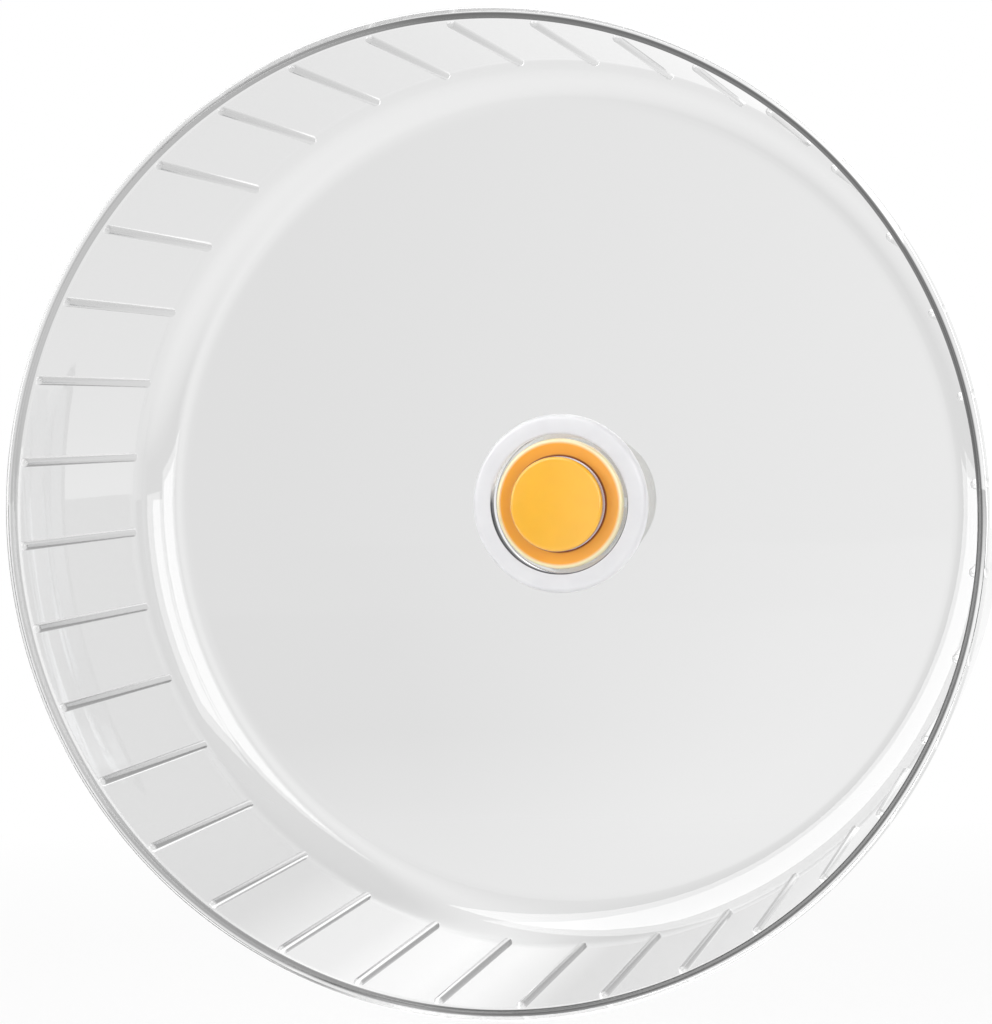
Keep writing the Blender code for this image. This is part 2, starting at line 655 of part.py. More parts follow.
def make_clamp_plate(finish):
    edge = arc(
        CLAMP_RADIUS - MOUNT_EDGE_ROUND,
        CLAMP_BACK - MOUNT_EDGE_ROUND,
        MOUNT_EDGE_ROUND,
        0.0,
        90.0,
        ROUND_STEPS,
    )
    front = [(STUD_HOLE_RADIUS, CLAMP_FRONT), (CLAMP_RADIUS, CLAMP_FRONT)]
    outline = front + edge + [(STUD_HOLE_RADIUS, CLAMP_BACK)]
    return settle(turned("clamp_plate", outline, HUB_STEPS, finish))


def make_wing_nut(finish):
    """A round threaded body with two flat round ears."""
    nut = turned_ring("wing_nut", STUD_HOLE_RADIUS, NUT_RADIUS, NUT_FRONT, NUT_BACK, BEARING_STEPS, finish)
    reach = STUD_HOLE_RADIUS + EAR_ROOT + EAR_RADIUS
    height = NUT_FRONT + EAR_LIFT + EAR_RADIUS

    def build_ears(work):
        for side in (-1.0, 1.0):
            bmesh.ops.create_cone(
                work,
                cap_ends=True,
                segments=EAR_SEGMENTS,
                radius1=EAR_RADIUS,
                radius2=EAR_RADIUS,
                depth=EAR_THICKNESS,
                matrix=Matrix.Translation((side * reach, height, 0.0)),
            )

    combine(nut, tool("wing_nut_ears", build_ears), "UNION")
    return settle(nut)


clear_scene()
PARTS = new_collection("hamster_wheel")
CUTTERS = new_collection("cutters")

CLEAR_PLASTIC = new_finish("clear_plastic", (0.86, 0.87, 0.88), 0.05, transmission=0.9)
ORANGE_PLASTIC = new_finish("orange_plastic", (0.93, 0.42, 0.05), 0.2)
WHITE_NYLON = new_finish("white_nylon", (0.82, 0.82, 0.80), 0.45)
GREY_RUBBER = new_finish("grey_rubber", (0.45, 0.45, 0.45), 0.85)
BEARING_STEEL = new_finish("bearing_steel", (0.56, 0.57, 0.58), 0.22, metallic=1.0)
BALL_STEEL = new_finish("ball_steel", (0.62, 0.63, 0.64), 0.08, metallic=1.0)
BRIGHT_STEEL = new_finish("bright_steel", (0.66, 0.67, 0.68), 0.3, metallic=1.0)
SPRING_STEEL = new_finish("spring_steel", (0.10, 0.10, 0.11), 0.4, metallic=1.0)
CAGE_PLASTIC = new_finish("cage_plastic", (0.70, 0.60, 0.42), 0.5)

FIXED = new_axis("fixed_axis")
WHEEL = new_axis("wheel_axis", FIXED)
CLAMP = new_axis("clamp_axis", FIXED)
NUT = new_axis("wing_nut_axis", CLAMP)

carry(
    WHEEL,
    [
        make_drum(CLEAR_PLASTIC),
        make_hub_sleeve(ORANGE_PLASTIC),
        make_hub_cap(ORANGE_PLASTIC),
        make_hub_nut(WHITE_NYLON),
        make_snap_ring(SPRING_STEEL),
    ],
)
make_bearing("front_bearing", FRONT_BEARING_FRONT, FRONT_BEARING_BACK, FIXED, WHEEL)
make_bearing("rear_bearing", REAR_BEARING_FRONT, REAR_BEARING_BACK, FIXED, WHEEL)

journal_hole = JOURNAL_RADIUS + FIT_GAP
carry(
    FIXED,
    [
        make_axle(BRIGHT_STEEL),
        make_axle_clip(SPRING_STEEL),
        make_washer("axle_washer", journal_hole, WASHER_WIDTH, WASHER_FRONT, WASHER_BACK, BRIGHT_STEEL),
        make_washer("bearing_spacer", journal_hole, SPACER_WALL, SPACER_FRONT, SPACER_BACK, BRIGHT_STEEL),
        make_mount_flange(WHITE_NYLON),
        make_pad("mount_pad", MOUNT_RADIUS, PAD_FRONT, GREY_RUBBER),
    ],
)

clamp_washer = make_washer(
    "clamp_washer",
    STUD_HOLE_RADIUS,
    CLAMP_WASHER_WIDTH,
    CLAMP_WASHER_FRONT,
    CLAMP_WASHER_BACK,
    BRIGHT_STEEL,
)
clamp_pad = make_pad("clamp_pad", CLAMP_RADIUS, CLAMP_GAP, GREY_RUBBER)
carry(CLAMP, [clamp_pad, make_clamp_plate(WHITE_NYLON), clamp_washer])
carry(NUT, [make_wing_nut(WHITE_NYLON)])
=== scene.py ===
# %% [markdown]
# # A clear hamster wheel with an orange hub
#
# The wheel is one clear plastic drum, open at the front, that spins on two small ball bearings
# inside an orange hub. A threaded stud behind the hub clamps it to the bars of a cage. The
# engineering model already holds every piece at its real size. This lesson dresses it: each piece
# that shows is modelled again with finer edges, and each surface gets a finish that behaves like
# the real material.

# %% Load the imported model
import math

import bmesh
import bpy
from mathutils import Matrix, Vector


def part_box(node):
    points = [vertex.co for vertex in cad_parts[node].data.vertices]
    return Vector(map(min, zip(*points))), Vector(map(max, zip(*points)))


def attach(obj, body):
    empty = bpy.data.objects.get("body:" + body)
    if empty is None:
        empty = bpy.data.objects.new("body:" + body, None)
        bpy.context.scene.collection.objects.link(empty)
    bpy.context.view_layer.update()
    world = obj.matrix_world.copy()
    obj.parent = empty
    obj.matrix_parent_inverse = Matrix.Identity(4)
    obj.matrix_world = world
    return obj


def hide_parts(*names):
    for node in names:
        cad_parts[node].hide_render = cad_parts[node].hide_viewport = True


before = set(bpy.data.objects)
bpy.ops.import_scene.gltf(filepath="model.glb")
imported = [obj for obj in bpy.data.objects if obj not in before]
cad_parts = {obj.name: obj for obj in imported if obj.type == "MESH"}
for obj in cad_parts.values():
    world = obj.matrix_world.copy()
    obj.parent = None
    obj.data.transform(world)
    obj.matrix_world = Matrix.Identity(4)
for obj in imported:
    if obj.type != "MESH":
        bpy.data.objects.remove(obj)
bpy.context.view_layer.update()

# %% [markdown]
# ## Places
#
# The wheel's axis is the Y axis, the open mouth faces -Y, and Z is up. Every place along the axle
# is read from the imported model, so a dressed piece sits exactly where its solid sits. Sizes that a
# box can't tell, such as a wall or a rounded edge, are written in millimetres where they are first
# needed.

# %% Reading places from the model
MM = 0.001
FIT_GAP = 0.3 * MM


def front_of(node):
    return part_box(node)[0].y


def back_of(node):
    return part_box(node)[1].y


def radius_of(node):
    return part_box(node)[1].z


rim_plane = front_of("drum")
boss_back = back_of("drum")
print(f"rim plane at {rim_plane / MM:.1f} mm, boss ends at {boss_back / MM:.1f} mm")

# %% [markdown]
# ## Helpers for modelling
#
# An operator acts on everything that is selected, so each piece starts with a clean selection.
# Most pieces are round. They could be made from cylinders, but a lathe is closer to how the moulds
# were cut: the half section is drawn corner by corner with Extrude, the corners are rounded with
# Bevel, and Spin turns it about the axis.

# %% Selecting


def clear_selection():
    if bpy.context.object and bpy.context.object.mode != "OBJECT":
        bpy.ops.object.mode_set(mode="OBJECT")
    bpy.ops.object.select_all(action="DESELECT")


def pick(obj, wanted):
    """In edit mode, select the points whose place passes a test."""
    work = bmesh.from_edit_mesh(obj.data)
    for point in work.verts:
        point.select = wanted(point.co)
    work.select_flush_mode()
    bmesh.update_edit_mesh(obj.data)


# %% Drawing a section
TOUCH = 0.001 * MM


def draw_line(name, places, closed):
    """Start a mesh with a line through these places, led back to its start if it is closed."""
    clear_selection()
    bpy.ops.mesh.primitive_plane_add(size=MM)
    obj = bpy.context.object
    obj.name = obj.data.name = name
    bpy.ops.object.mode_set(mode="EDIT")
    bpy.ops.mesh.merge(type="CENTER")
    bpy.ops.transform.translate(value=places[0])
    for start, end in zip(places, places[1:]):
        bpy.ops.mesh.extrude_region_move(TRANSFORM_OT_translate={"value": end - start})
    if closed:
        ends = (places[0], places[-1])
        pick(obj, lambda co: min((co - end).length for end in ends) < TOUCH)
        bpy.ops.mesh.edge_face_add()
    return obj


# %% Turning a half section
ORIGIN = (0.0, 0.0, 0.0)
AXLE_WAY = (0.0, 1.0, 0.0)
SMOOTH_ANGLE = math.radians(32)


def close_up(obj):
    """Merge doubled points, turn the faces outwards and shade the round stretches smooth."""
    bpy.ops.mesh.select_all(action="SELECT")
    bpy.ops.mesh.remove_doubles(threshold=TOUCH)
    bpy.ops.mesh.normals_make_consistent(inside=False)
    bpy.ops.object.mode_set(mode="OBJECT")
    bpy.ops.object.shade_smooth_by_angle(angle=SMOOTH_ANGLE)
    return obj


def turned(name, corners, steps, closed=True, rounding_steps=6):
    """Spin a half section, given as (radius, y, rounding) corners, about the Y axis."""
    places = [Vector((radius, y, 0.0)) for radius, y, _ in corners]
    obj = draw_line(name, places, closed)
    for i, (_, _, rounding) in enumerate(corners):
        if rounding:
            before = places[i - 1] - places[i]
            after = places[(i + 1) % len(places)] - places[i]
            cut = rounding / math.tan(before.angle(after) / 2.0)
            pick(obj, lambda co: (co - places[i]).length < TOUCH)
            bpy.ops.mesh.bevel(
                offset=cut, segments=rounding_steps, affect="VERTICES", clamp_overlap=False
            )
    bpy.ops.mesh.select_all(action="SELECT")
    bpy.ops.mesh.spin(steps=steps, angle=math.tau, center=ORIGIN, axis=AXLE_WAY)
    return close_up(obj)


# %% [markdown]
# ## Joining and finishing
#
# A Boolean joins two closed shapes or cuts one with the other. It is only reliable where neither
# shape cuts itself, so each is drawn as one clean section first.
#
# A finished piece is hidden from reflected rays. Each clear wall then mirrors the studio and
# nothing else, as a flat wall in a bright room does to the eye, and the tracer loses no light on
# its way to and fro inside the plastic.

# %% Joining, cutting and finishing


def combine(obj, other, operation):
    """Apply a Boolean: join the other piece to this one, cut it away, or keep what both fill."""
    clear_selection()
    bpy.context.view_layer.objects.active = obj
    obj.select_set(True)
    change = obj.modifiers.new("combine", "BOOLEAN")
    change.operation = operation
    change.solver = "EXACT"
    change.object = other
    bpy.ops.object.modifier_apply(modifier=change.name)
    bpy.data.objects.remove(other)
    bpy.ops.object.shade_smooth_by_angle(angle=SMOOTH_ANGLE)


def finish_piece(obj, material, body, slot, *nodes):
    """Give a piece its material, let it ride on its body and stand for its nodes."""
    obj.data.materials.clear()
    obj.data.materials.append(material)
    obj.visible_glossy = False
    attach(obj, body)
    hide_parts(*nodes)
    print(f"{obj.name}: {len(obj.data.polygons)} faces in {material.name}")


# %% [markdown]
# ## Camera
#
# The picture was taken with a long lens from a little to the right and a little above. A long lens
# keeps the drum's front circle almost round. The view is given by two turns, the distance to the
# middle of the rim, and where that middle lies in the picture, so the camera is worked out from
# the wheel.

# %% Camera
PICTURE_HEIGHT = 1024
SENSOR = 36.0
FOCAL_PIXELS = 4500.0
VIEW_YAW = math.radians(14.64)
VIEW_PITCH = math.radians(2.40)
VIEW_DISTANCE = 1239.8 * MM
RIM_MIDDLE_RIGHT = -13.0
RIM_MIDDLE_UP = -4.5


def make_camera():
    sin_yaw, cos_yaw = math.sin(VIEW_YAW), math.cos(VIEW_YAW)
    sin_pitch, cos_pitch = math.sin(VIEW_PITCH), math.cos(VIEW_PITCH)
    right = Vector((cos_yaw, sin_yaw * cos_pitch, -sin_yaw * sin_pitch))
    up = Vector((0.0, sin_pitch, cos_pitch))
    ahead = Vector((-sin_yaw, cos_yaw * cos_pitch, -cos_yaw * sin_pitch))
    pixel = VIEW_DISTANCE / FOCAL_PIXELS
    offset = right * RIM_MIDDLE_RIGHT * pixel + up * RIM_MIDDLE_UP * pixel + ahead * VIEW_DISTANCE
    place = Vector((0.0, rim_plane, 0.0)) - offset
    data = bpy.data.cameras.new("camera")
    data.sensor_width = SENSOR
    data.lens = FOCAL_PIXELS * SENSOR / PICTURE_HEIGHT
    camera = bpy.data.objects.new("camera", data)
    bpy.context.scene.collection.objects.link(camera)
    turn = Matrix((right, up, -ahead)).transposed()
    camera.matrix_world = Matrix.Translation(place) @ turn.to_4x4()
    bpy.context.scene.camera = camera
    print(f"camera at {tuple(round(c, 3) for c in place)} with a {data.lens:.0f} mm lens")


make_camera()

# %% [markdown]
# ## Helpers for colours and nodes
#
# Colours are written as the sRGB hex values that an eye-dropper gives, and one function turns them
# into the linear values that Blender works with. Another small function adds a node, sets it up
# and links it. A link starts at a socket, or at a node, and then its first output is meant.

# %% Colours and nodes
WHITE = (1.0, 1.0, 1.0, 1.0)


def linear(hex_colour):
    parts = [int(hex_colour[i : i + 2], 16) / 255.0 for i in (1, 3, 5)]
    values = [c / 12.92 if c <= 0.04045 else ((c + 0.055) / 1.055) ** 2.4 for c in parts]
    return (*values, 1.0)


def empty_tree(owner):
    """Switch a material or a world to nodes and take out those it starts with."""
    owner.use_nodes = True
    owner.node_tree.nodes.clear()
    return owner.node_tree


def add_node(tree, kind, values=None, links=None, **settings):
    """Add a node with its settings, its socket values and what feeds its sockets."""
    node = tree.nodes.new(kind)
    for key, value in settings.items():
        setattr(node, key, value)
    for key, value in (values or {}).items():
        node.inputs[key].default_value = value
    for key, source in (links or {}).items():
        socket = source.outputs[0] if isinstance(source, bpy.types.Node) else source
        tree.links.new(socket, node.inputs[key])
    return node


# %% [markdown]
# ## Studio
#
# A product picture on white needs a white backdrop that the camera, mirrors and clear plastic see,
# and a white floor that keeps a soft shadow near the wheel. The room on the camera's side is
# dimmer, so that a shiny surface has something to reflect. What shows through a clear wall is the
# white backdrop. A wall seen at a slant mirrors more of the dim room, so every edge is drawn by a
# grey line. Light Path tells the rays apart. A ray that went through clear plastic counts as
# glossy too, so a reflected ray is one that is glossy and not transmitted.

# %% What a mirror sees of the room
ROOM_MIRRORED = 0.12
BACKDROP_EDGE = 0.45
BACKDROP_FULL = 0.8
PALE_WALL = 1.7
PALE_WALL_PLACE = -0.05
PALE_WALL_FULL = 0.05
PALE_WALL_EDGE = 0.25


def room_in_mirror(tree, way):
    """Brightness of the room in a direction: white at the back, a pale upright strip, or dim."""
    straight = add_node(tree, "ShaderNodeVectorMath", links={0: way}, operation="NORMALIZE")
    axes = add_node(tree, "ShaderNodeSeparateXYZ", links={0: straight})
    backdrop_range = {"From Min": BACKDROP_EDGE, "From Max": BACKDROP_FULL}
    backdrop = add_node(
        tree,
        "ShaderNodeMapRange",
        {**backdrop_range, "To Min": ROOM_MIRRORED, "To Max": 1.0},
        {"Value": axes.outputs["Y"]},
    )
    sideways = add_node(
        tree, "ShaderNodeMath", {1: PALE_WALL_PLACE}, {0: axes.outputs["X"]}, operation="SUBTRACT"
    )
    off_middle = add_node(tree, "ShaderNodeMath", links={0: sideways}, operation="ABSOLUTE")
    wall_range = {"From Min": PALE_WALL_FULL, "From Max": PALE_WALL_EDGE}
    pale_wall = add_node(
        tree,
        "ShaderNodeMapRange",
        {**wall_range, "To Min": PALE_WALL, "To Max": ROOM_MIRRORED},
        {"Value": off_middle},
    )
    levels = {0: backdrop, 1: pale_wall}
    return add_node(tree, "ShaderNodeMath", links=levels, operation="MAXIMUM")


# %% White backdrop
ROOM_LIGHT = 0.45


def make_surround():
    world = bpy.data.worlds.new("studio")
    bpy.context.scene.world = world
    tree = empty_tree(world)
    direction = add_node(tree, "ShaderNodeTexCoord")
    mirrored = room_in_mirror(tree, direction.outputs["Generated"])
    path = add_node(tree, "ShaderNodeLightPath")
    level = add_node(
        tree, "ShaderNodeMix", {2: ROOM_LIGHT}, {0: path.outputs["Is Glossy Ray"], 3: mirrored}
    )
    room = add_node(tree, "ShaderNodeBackground", {"Color": WHITE}, {"Strength": level})
    white = add_node(tree, "ShaderNodeBackground", {"Color": WHITE, "Strength": 1.0})
    seen = add_node(
        tree,
        "ShaderNodeMath",
        links={0: path.outputs["Is Camera Ray"], 1: path.outputs["Is Transmission Ray"]},
        operation="MAXIMUM",
    )
    mix = add_node(tree, "ShaderNodeMixShader", links={0: seen, 1: room, 2: white})
    add_node(tree, "ShaderNodeOutputWorld", links={"Surface": mix})
    print(f"white backdrop, and {ROOM_LIGHT} of its light from the room")


make_surround()

# %% [markdown]
# ## Floor
#
# A disc of sweep paper, a little below the wheel. The camera sees it white, with a share of plain
# paper near the wheel that takes the shadow. In a mirror it isn't white all over: its glow holds a
# painted pool of light on the stretch close in front of the wheel, as if in the full light of the
# soft boxes, and painted shade on the stretch close behind it.

# %% What a mirror sees of the floor
FRONT_MIRRORED = 1.8
REAR_MIRRORED = 0.8
NEAR_FLOOR = 0.3
FAR_FLOOR = 1.0
SHADED_FLOOR = 0.1
REAR_STARTS = 0.05
FRONT_STARTS = -0.15


def floor_in_mirror(tree, place, distance):
    """Brightness of the floor in a mirror at a place on it, this far from its middle: painted light
    in front, painted shade behind.
    """
    near = add_node(
        tree,
        "ShaderNodeMapRange",
        {"From Min": FAR_FLOOR, "From Max": NEAR_FLOOR},
        {"Value": distance},
    )
    far_level = room_in_mirror(tree, place)
    in_front = add_node(tree, "ShaderNodeMix", {3: FRONT_MIRRORED}, {0: near, 2: far_level})
    axes = add_node(tree, "ShaderNodeSeparateXYZ", links={0: place})
    behind = add_node(
        tree,
        "ShaderNodeMapRange",
        {"From Min": SHADED_FLOOR, "From Max": FAR_FLOOR, "To Min": REAR_MIRRORED, "To Max": 1.0},
        {"Value": axes.outputs["Y"]},
    )
    side = add_node(
        tree,
        "ShaderNodeMapRange",
        {"From Min": REAR_STARTS, "From Max": FRONT_STARTS},
        {"Value": axes.outputs["Y"]},
    )
    return add_node(tree, "ShaderNodeMix", links={0: side, 2: behind, 3: in_front})


# %% Sweep paper
PAPER_WHITE = "#F4F4F4"
SHADOW_REACH = 0.55
SHADOW_SHARE = 0.12


def make_floor_paper():
    material = bpy.data.materials.new("white_sweep_paper")
    tree = empty_tree(material)
    place = add_node(tree, "ShaderNodeTexCoord").outputs["Object"]
    length = add_node(tree, "ShaderNodeVectorMath", links={0: place}, operation="LENGTH")
    distance = length.outputs["Value"]
    path = add_node(tree, "ShaderNodeLightPath")
    reflected = add_node(
        tree,
        "ShaderNodeMath",
        links={0: path.outputs["Is Glossy Ray"], 1: path.outputs["Is Transmission Ray"]},
        operation="SUBTRACT",
        use_clamp=True,
    )
    mirrored = floor_in_mirror(tree, place, distance)
    level = add_node(tree, "ShaderNodeMix", {2: 1.0}, {0: reflected, 3: mirrored})
    lighting = add_node(
        tree,
        "ShaderNodeMath",
        links={0: path.outputs["Is Diffuse Ray"], 1: path.outputs["Is Shadow Ray"]},
        operation="MAXIMUM",
    )
    looked_at = add_node(tree, "ShaderNodeMath", {0: 1.0}, {1: lighting}, operation="SUBTRACT")
    shadow_range = {"From Min": SHADOW_REACH / 2.0, "From Max": SHADOW_REACH}
    clean = add_node(
        tree,
        "ShaderNodeMapRange",
        {**shadow_range, "To Min": 1.0 - SHADOW_SHARE, "To Max": 1.0},
        {"Value": distance},
    )
    share = add_node(tree, "ShaderNodeMath", links={0: looked_at, 1: clean}, operation="MULTIPLY")
    paint = add_node(tree, "ShaderNodeBsdfDiffuse", {"Color": linear(PAPER_WHITE)})
    glow = add_node(tree, "ShaderNodeEmission", {"Color": WHITE}, {"Strength": level})
    mix = add_node(tree, "ShaderNodeMixShader", links={0: share, 1: paint, 2: glow})
    add_node(tree, "ShaderNodeOutputMaterial", links={"Surface": mix})
    return material


# %% White floor
FLOOR_DROP = 14.0 * MM
FLOOR_RADIUS = 3.0
FLOOR_STEPS = 96


def make_floor():
    clear_selection()
    height = -radius_of("drum") - FLOOR_DROP
    bpy.ops.mesh.primitive_circle_add(
        vertices=FLOOR_STEPS, radius=FLOOR_RADIUS, fill_type="NGON", location=(0.0, 0.0, height)
    )
    floor = bpy.context.object
    floor.name = "floor"
    bpy.ops.object.transform_apply(location=True)
    floor.data.materials.append(make_floor_paper())
    print(f"floor {-height / MM:.0f} mm below the axle")


make_floor()

# %% [markdown]
# ## Lamps
#
# A soft box left of the camera, one right of it, one at the left behind the wheel and a panel
# overhead light it. Two large pale cards beside the camera light nothing and only show as mirror
# images: the rounded corner of the drum bends them into the long white bands of the picture. Each
# brightness is given as what a mirror would show, with 1 as white.

# %% Soft boxes and cards


def make_soft_box(name, place, width, height, brightness, lights=True, mirrored=False):
    data = bpy.data.lights.new(name, "AREA")
    data.shape = "RECTANGLE"
    data.size = width
    data.size_y = height
    data.energy = brightness * math.pi * width * height
    lamp = bpy.data.objects.new(name, data)
    bpy.context.scene.collection.objects.link(lamp)
    aim = Vector((0.0, rim_plane / 2.0, 0.0)) - Vector(place)
    turn = aim.to_track_quat("-Z", "Y").to_matrix()
    lamp.matrix_world = Matrix.Translation(place) @ turn.to_4x4()
    lamp.visible_camera = False
    lamp.visible_transmission = False
    lamp.visible_diffuse = lights
    lamp.visible_glossy = mirrored


make_soft_box("left_soft_box", (-1.25, -1.15, 0.42), 0.95, 1.05, 3.1)
make_soft_box("right_soft_box", (1.25, -1.05, 0.42), 0.85, 1.05, 3.1, mirrored=True)
make_soft_box("top_soft_box", (0.0, -0.1, 1.6), 1.2, 0.9, 1.4)
make_soft_box("rear_soft_box", (-1.15, 1.3, 0.75), 0.8, 0.9, 2.0)
make_soft_box("left_card", (-1.17, -0.98, 0.95), 2.1, 2.7, 3.2, lights=False, mirrored=True)
make_soft_box("right_card", (0.60, -1.65, 0.34), 0.8, 1.03, 3.2, lights=False, mirrored=True)
bpy.context.scene.view_settings.view_transform = "Standard"
print("lamps:", ", ".join(light.name for light in bpy.data.lights))

# %% [markdown]
# ## The drum
#
# One moulding: a beaded rim, a band that narrows towards the back so that it leaves its mould, a
# rounded corner, a flat disc, and a boss behind the disc that holds the hub. Its half section has
# ten corners.

# %% Sizes of the drum
DRUM_STEPS = 360
DRUM_ROUNDING_STEPS = 14
RIM_RADIUS = 140.0 * MM
BAND_WALL = 2.3 * MM
BAND_DRAFT = math.radians(5.1)
DISC_WALL = 2.5 * MM
BACK_ROUNDING = 12.4 * MM
BEAD_HEIGHT = 0.8 * MM
BEAD_WIDTH = 4.0 * MM
INNER_RIM_ROUNDING = 1.3 * MM
OUTER_RIM_ROUNDING = 0.6 * MM
SOFT_EDGE = 0.5 * MM
KEEP_FLAT = 0.4 * MM
BOSS_RADIUS = 21.2 * MM
BOSS_ROOT = 2.0 * MM
BOSS_LENGTH = 6.0 * MM
SLEEVE_RADIUS = 15.0 * MM
bore_radius = SLEEVE_RADIUS + FIT_GAP
disc_back = boss_back - BOSS_LENGTH
disc_face = disc_back - DISC_WALL
band_front = RIM_RADIUS - BEAD_HEIGHT - BAND_WALL / math.cos(BAND_DRAFT)
bead_foot = rim_plane + BEAD_WIDTH + BEAD_HEIGHT


def band_radius(y, wall=0.0):
    """Radius of the band's running side at a place along the axle, or of its outside."""
    return band_front + wall / math.cos(BAND_DRAFT) - (y - rim_plane) * math.tan(BAND_DRAFT)


print(f"disc face at {disc_face / MM:.1f} mm, running side starts at {band_front / MM:.1f} mm")

# %% The drum's half section
inner_corner = band_radius(disc_face)
outer_corner = band_radius(disc_back, BAND_WALL)
outer_rounding = BACK_ROUNDING + DISC_WALL

# Extra points close to each rounding keep the shading of the long flat stretches flat.
inner_start = disc_face - BACK_ROUNDING - KEEP_FLAT
outer_start = disc_back - outer_rounding - KEEP_FLAT
rim_end = rim_plane + INNER_RIM_ROUNDING + KEEP_FLAT
bead_end = bead_foot + SOFT_EDGE + KEEP_FLAT

drum = turned(
    "drum_shell",
    [
        (bore_radius, disc_face, 0.0),
        (inner_corner - BACK_ROUNDING - KEEP_FLAT, disc_face, 0.0),
        (inner_corner, disc_face, BACK_ROUNDING),
        (band_radius(inner_start), inner_start, 0.0),
        (band_radius(rim_end), rim_end, 0.0),
        (band_front, rim_plane, INNER_RIM_ROUNDING),
        (RIM_RADIUS, rim_plane, OUTER_RIM_ROUNDING),
        (RIM_RADIUS, rim_plane + BEAD_WIDTH, SOFT_EDGE),
        (band_radius(bead_foot, BAND_WALL), bead_foot, SOFT_EDGE),
        (band_radius(bead_end, BAND_WALL), bead_end, 0.0),
        (band_radius(outer_start, BAND_WALL), outer_start, 0.0),
        (outer_corner, disc_back, outer_rounding),
        (outer_corner - outer_rounding - KEEP_FLAT, disc_back, 0.0),
        (BOSS_RADIUS + BOSS_ROOT + KEEP_FLAT, disc_back, 0.0),
        (BOSS_RADIUS, disc_back, BOSS_ROOT),
        (BOSS_RADIUS, boss_back, SOFT_EDGE),
        (bore_radius, boss_back, 0.0),
    ],
    DRUM_STEPS,
    rounding_steps=DRUM_ROUNDING_STEPS,
)
print(f"{len(drum.data.polygons)} faces before the ribs")

# %% [markdown]
# ## The running ribs
#
# Straight ribs along the inside of the band make the running side less slippery. One rib is shaped
# from a cube, with its top and ends rounded by Bevel, and Spin copies it round the axis. A Boolean
# joins the ribs to the wall, because overlapping shells would show faces inside the plastic that
# the real moulding doesn't have.

# %% One rib
RIB_WIDTH = 2.7 * MM
RIB_HEIGHT = 1.7 * MM
RIB_ROUNDING = 1.2 * MM
RIB_ROUNDING_STEPS = 4
RIB_SINK = BAND_WALL / 2.0
RIB_FRONT_GAP = 2.5 * MM
rib_front = rim_plane + RIB_FRONT_GAP
rib_back = disc_face - BACK_ROUNDING * (1.0 - math.sin(BAND_DRAFT))
rib_length = (rib_back - rib_front) / math.cos(BAND_DRAFT)


def make_rib():
    """A bar along Y that rises towards -X, its foot sunk into the wall, which starts at 0."""
    clear_selection()
    bpy.ops.mesh.primitive_cube_add(size=1.0)
    rib = bpy.context.object
    bpy.ops.object.mode_set(mode="EDIT")
    bpy.ops.transform.resize(value=(RIB_HEIGHT + RIB_SINK, rib_length, RIB_WIDTH))
    bpy.ops.transform.translate(value=((RIB_SINK - RIB_HEIGHT) / 2.0, 0.0, 0.0))
    work = bmesh.from_edit_mesh(rib.data)
    top = min(point.co.x for point in work.verts)
    for edge in work.edges:
        edge.select_set(any(point.co.x < top + TOUCH for point in edge.verts))
    bmesh.update_edit_mesh(rib.data)
    bpy.ops.mesh.bevel(offset=RIB_ROUNDING, segments=RIB_ROUNDING_STEPS, affect="EDGES")
    bpy.ops.object.mode_set(mode="OBJECT")
    return rib


# %% Ribs round the band
RIB_COUNT = 36
RIB_PHASE = math.radians(3.6)


def copy_round(count):
    """In edit mode, copy the mesh to equal places round the axle."""
    bpy.ops.mesh.select_all(action="SELECT")
    copies = count - 1
    angle = math.tau * copies / count
    bpy.ops.mesh.spin(steps=copies, dupli=True, angle=angle, center=ORIGIN, axis=AXLE_WAY)


def make_ribs():
    ribs = make_rib()
    middle = (rib_front + rib_back) / 2.0
    on_wall = Matrix.Translation((band_radius(middle), middle, 0.0))
    lean = on_wall @ Matrix.Rotation(BAND_DRAFT, 4, "Z")
    ribs.matrix_world = Matrix.Rotation(-RIB_PHASE, 4, "Y") @ lean
    bpy.ops.object.transform_apply(location=True, rotation=True)
    bpy.ops.object.mode_set(mode="EDIT")
    copy_round(RIB_COUNT)
    return close_up(ribs)


combine(drum, make_ribs(), "UNION")
print(f"{len(drum.data.polygons)} faces with {RIB_COUNT} ribs")

# %% [markdown]
# ## Helpers for finishes
#
# Each finish is one Principled shader. Hardly any real surface has a single flat colour or an even
# polish, so three patterns come back: clouds between two tones, a polish that changes with a
# pattern, and a fine grain that tilts the surface a little. All of them lie in Object coordinates
# and move with their piece.

# %% Shader, clouds, polish and grain


def new_material(name, values):
    """A material with one Principled shader whose sockets hold these values."""
    material = bpy.data.materials.new(name)
    tree = empty_tree(material)
    shader = add_node(tree, "ShaderNodeBsdfPrincipled", values)
    add_node(tree, "ShaderNodeOutputMaterial", links={"Surface": shader}, name="output")
    print("new material:", name)
    return material, tree, shader


def per_mm(size):
    """Texture scale at which one cell of a pattern is this many millimetres wide."""
    return 1.0 / (size * MM)


def cloudy_colour(tree, shader, size, detail, dark, light):
    """Colour a shader with clouds between two tones, and return clouds and tone for other uses."""
    place = add_node(tree, "ShaderNodeTexCoord").outputs["Object"]
    values = {"Scale": per_mm(size), "Detail": detail}
    clouds = add_node(tree, "ShaderNodeTexNoise", values, {"Vector": place})
    tone = add_node(tree, "ShaderNodeValToRGB", links={0: clouds})
    for stop, colour in zip(tone.color_ramp.elements, (dark, light)):
        stop.color = linear(colour)
    tree.links.new(tone.outputs[0], shader.inputs["Base Color"])
    return clouds, tone


def uneven_polish(tree, shader, pattern, low, high):
    """Let the roughness run from low to high where a pattern runs from 0 to 1."""
    values = {"To Min": low, "To Max": high}
    roughness = add_node(tree, "ShaderNodeMapRange", values, {"Value": pattern})
    tree.links.new(roughness.outputs[0], shader.inputs["Roughness"])


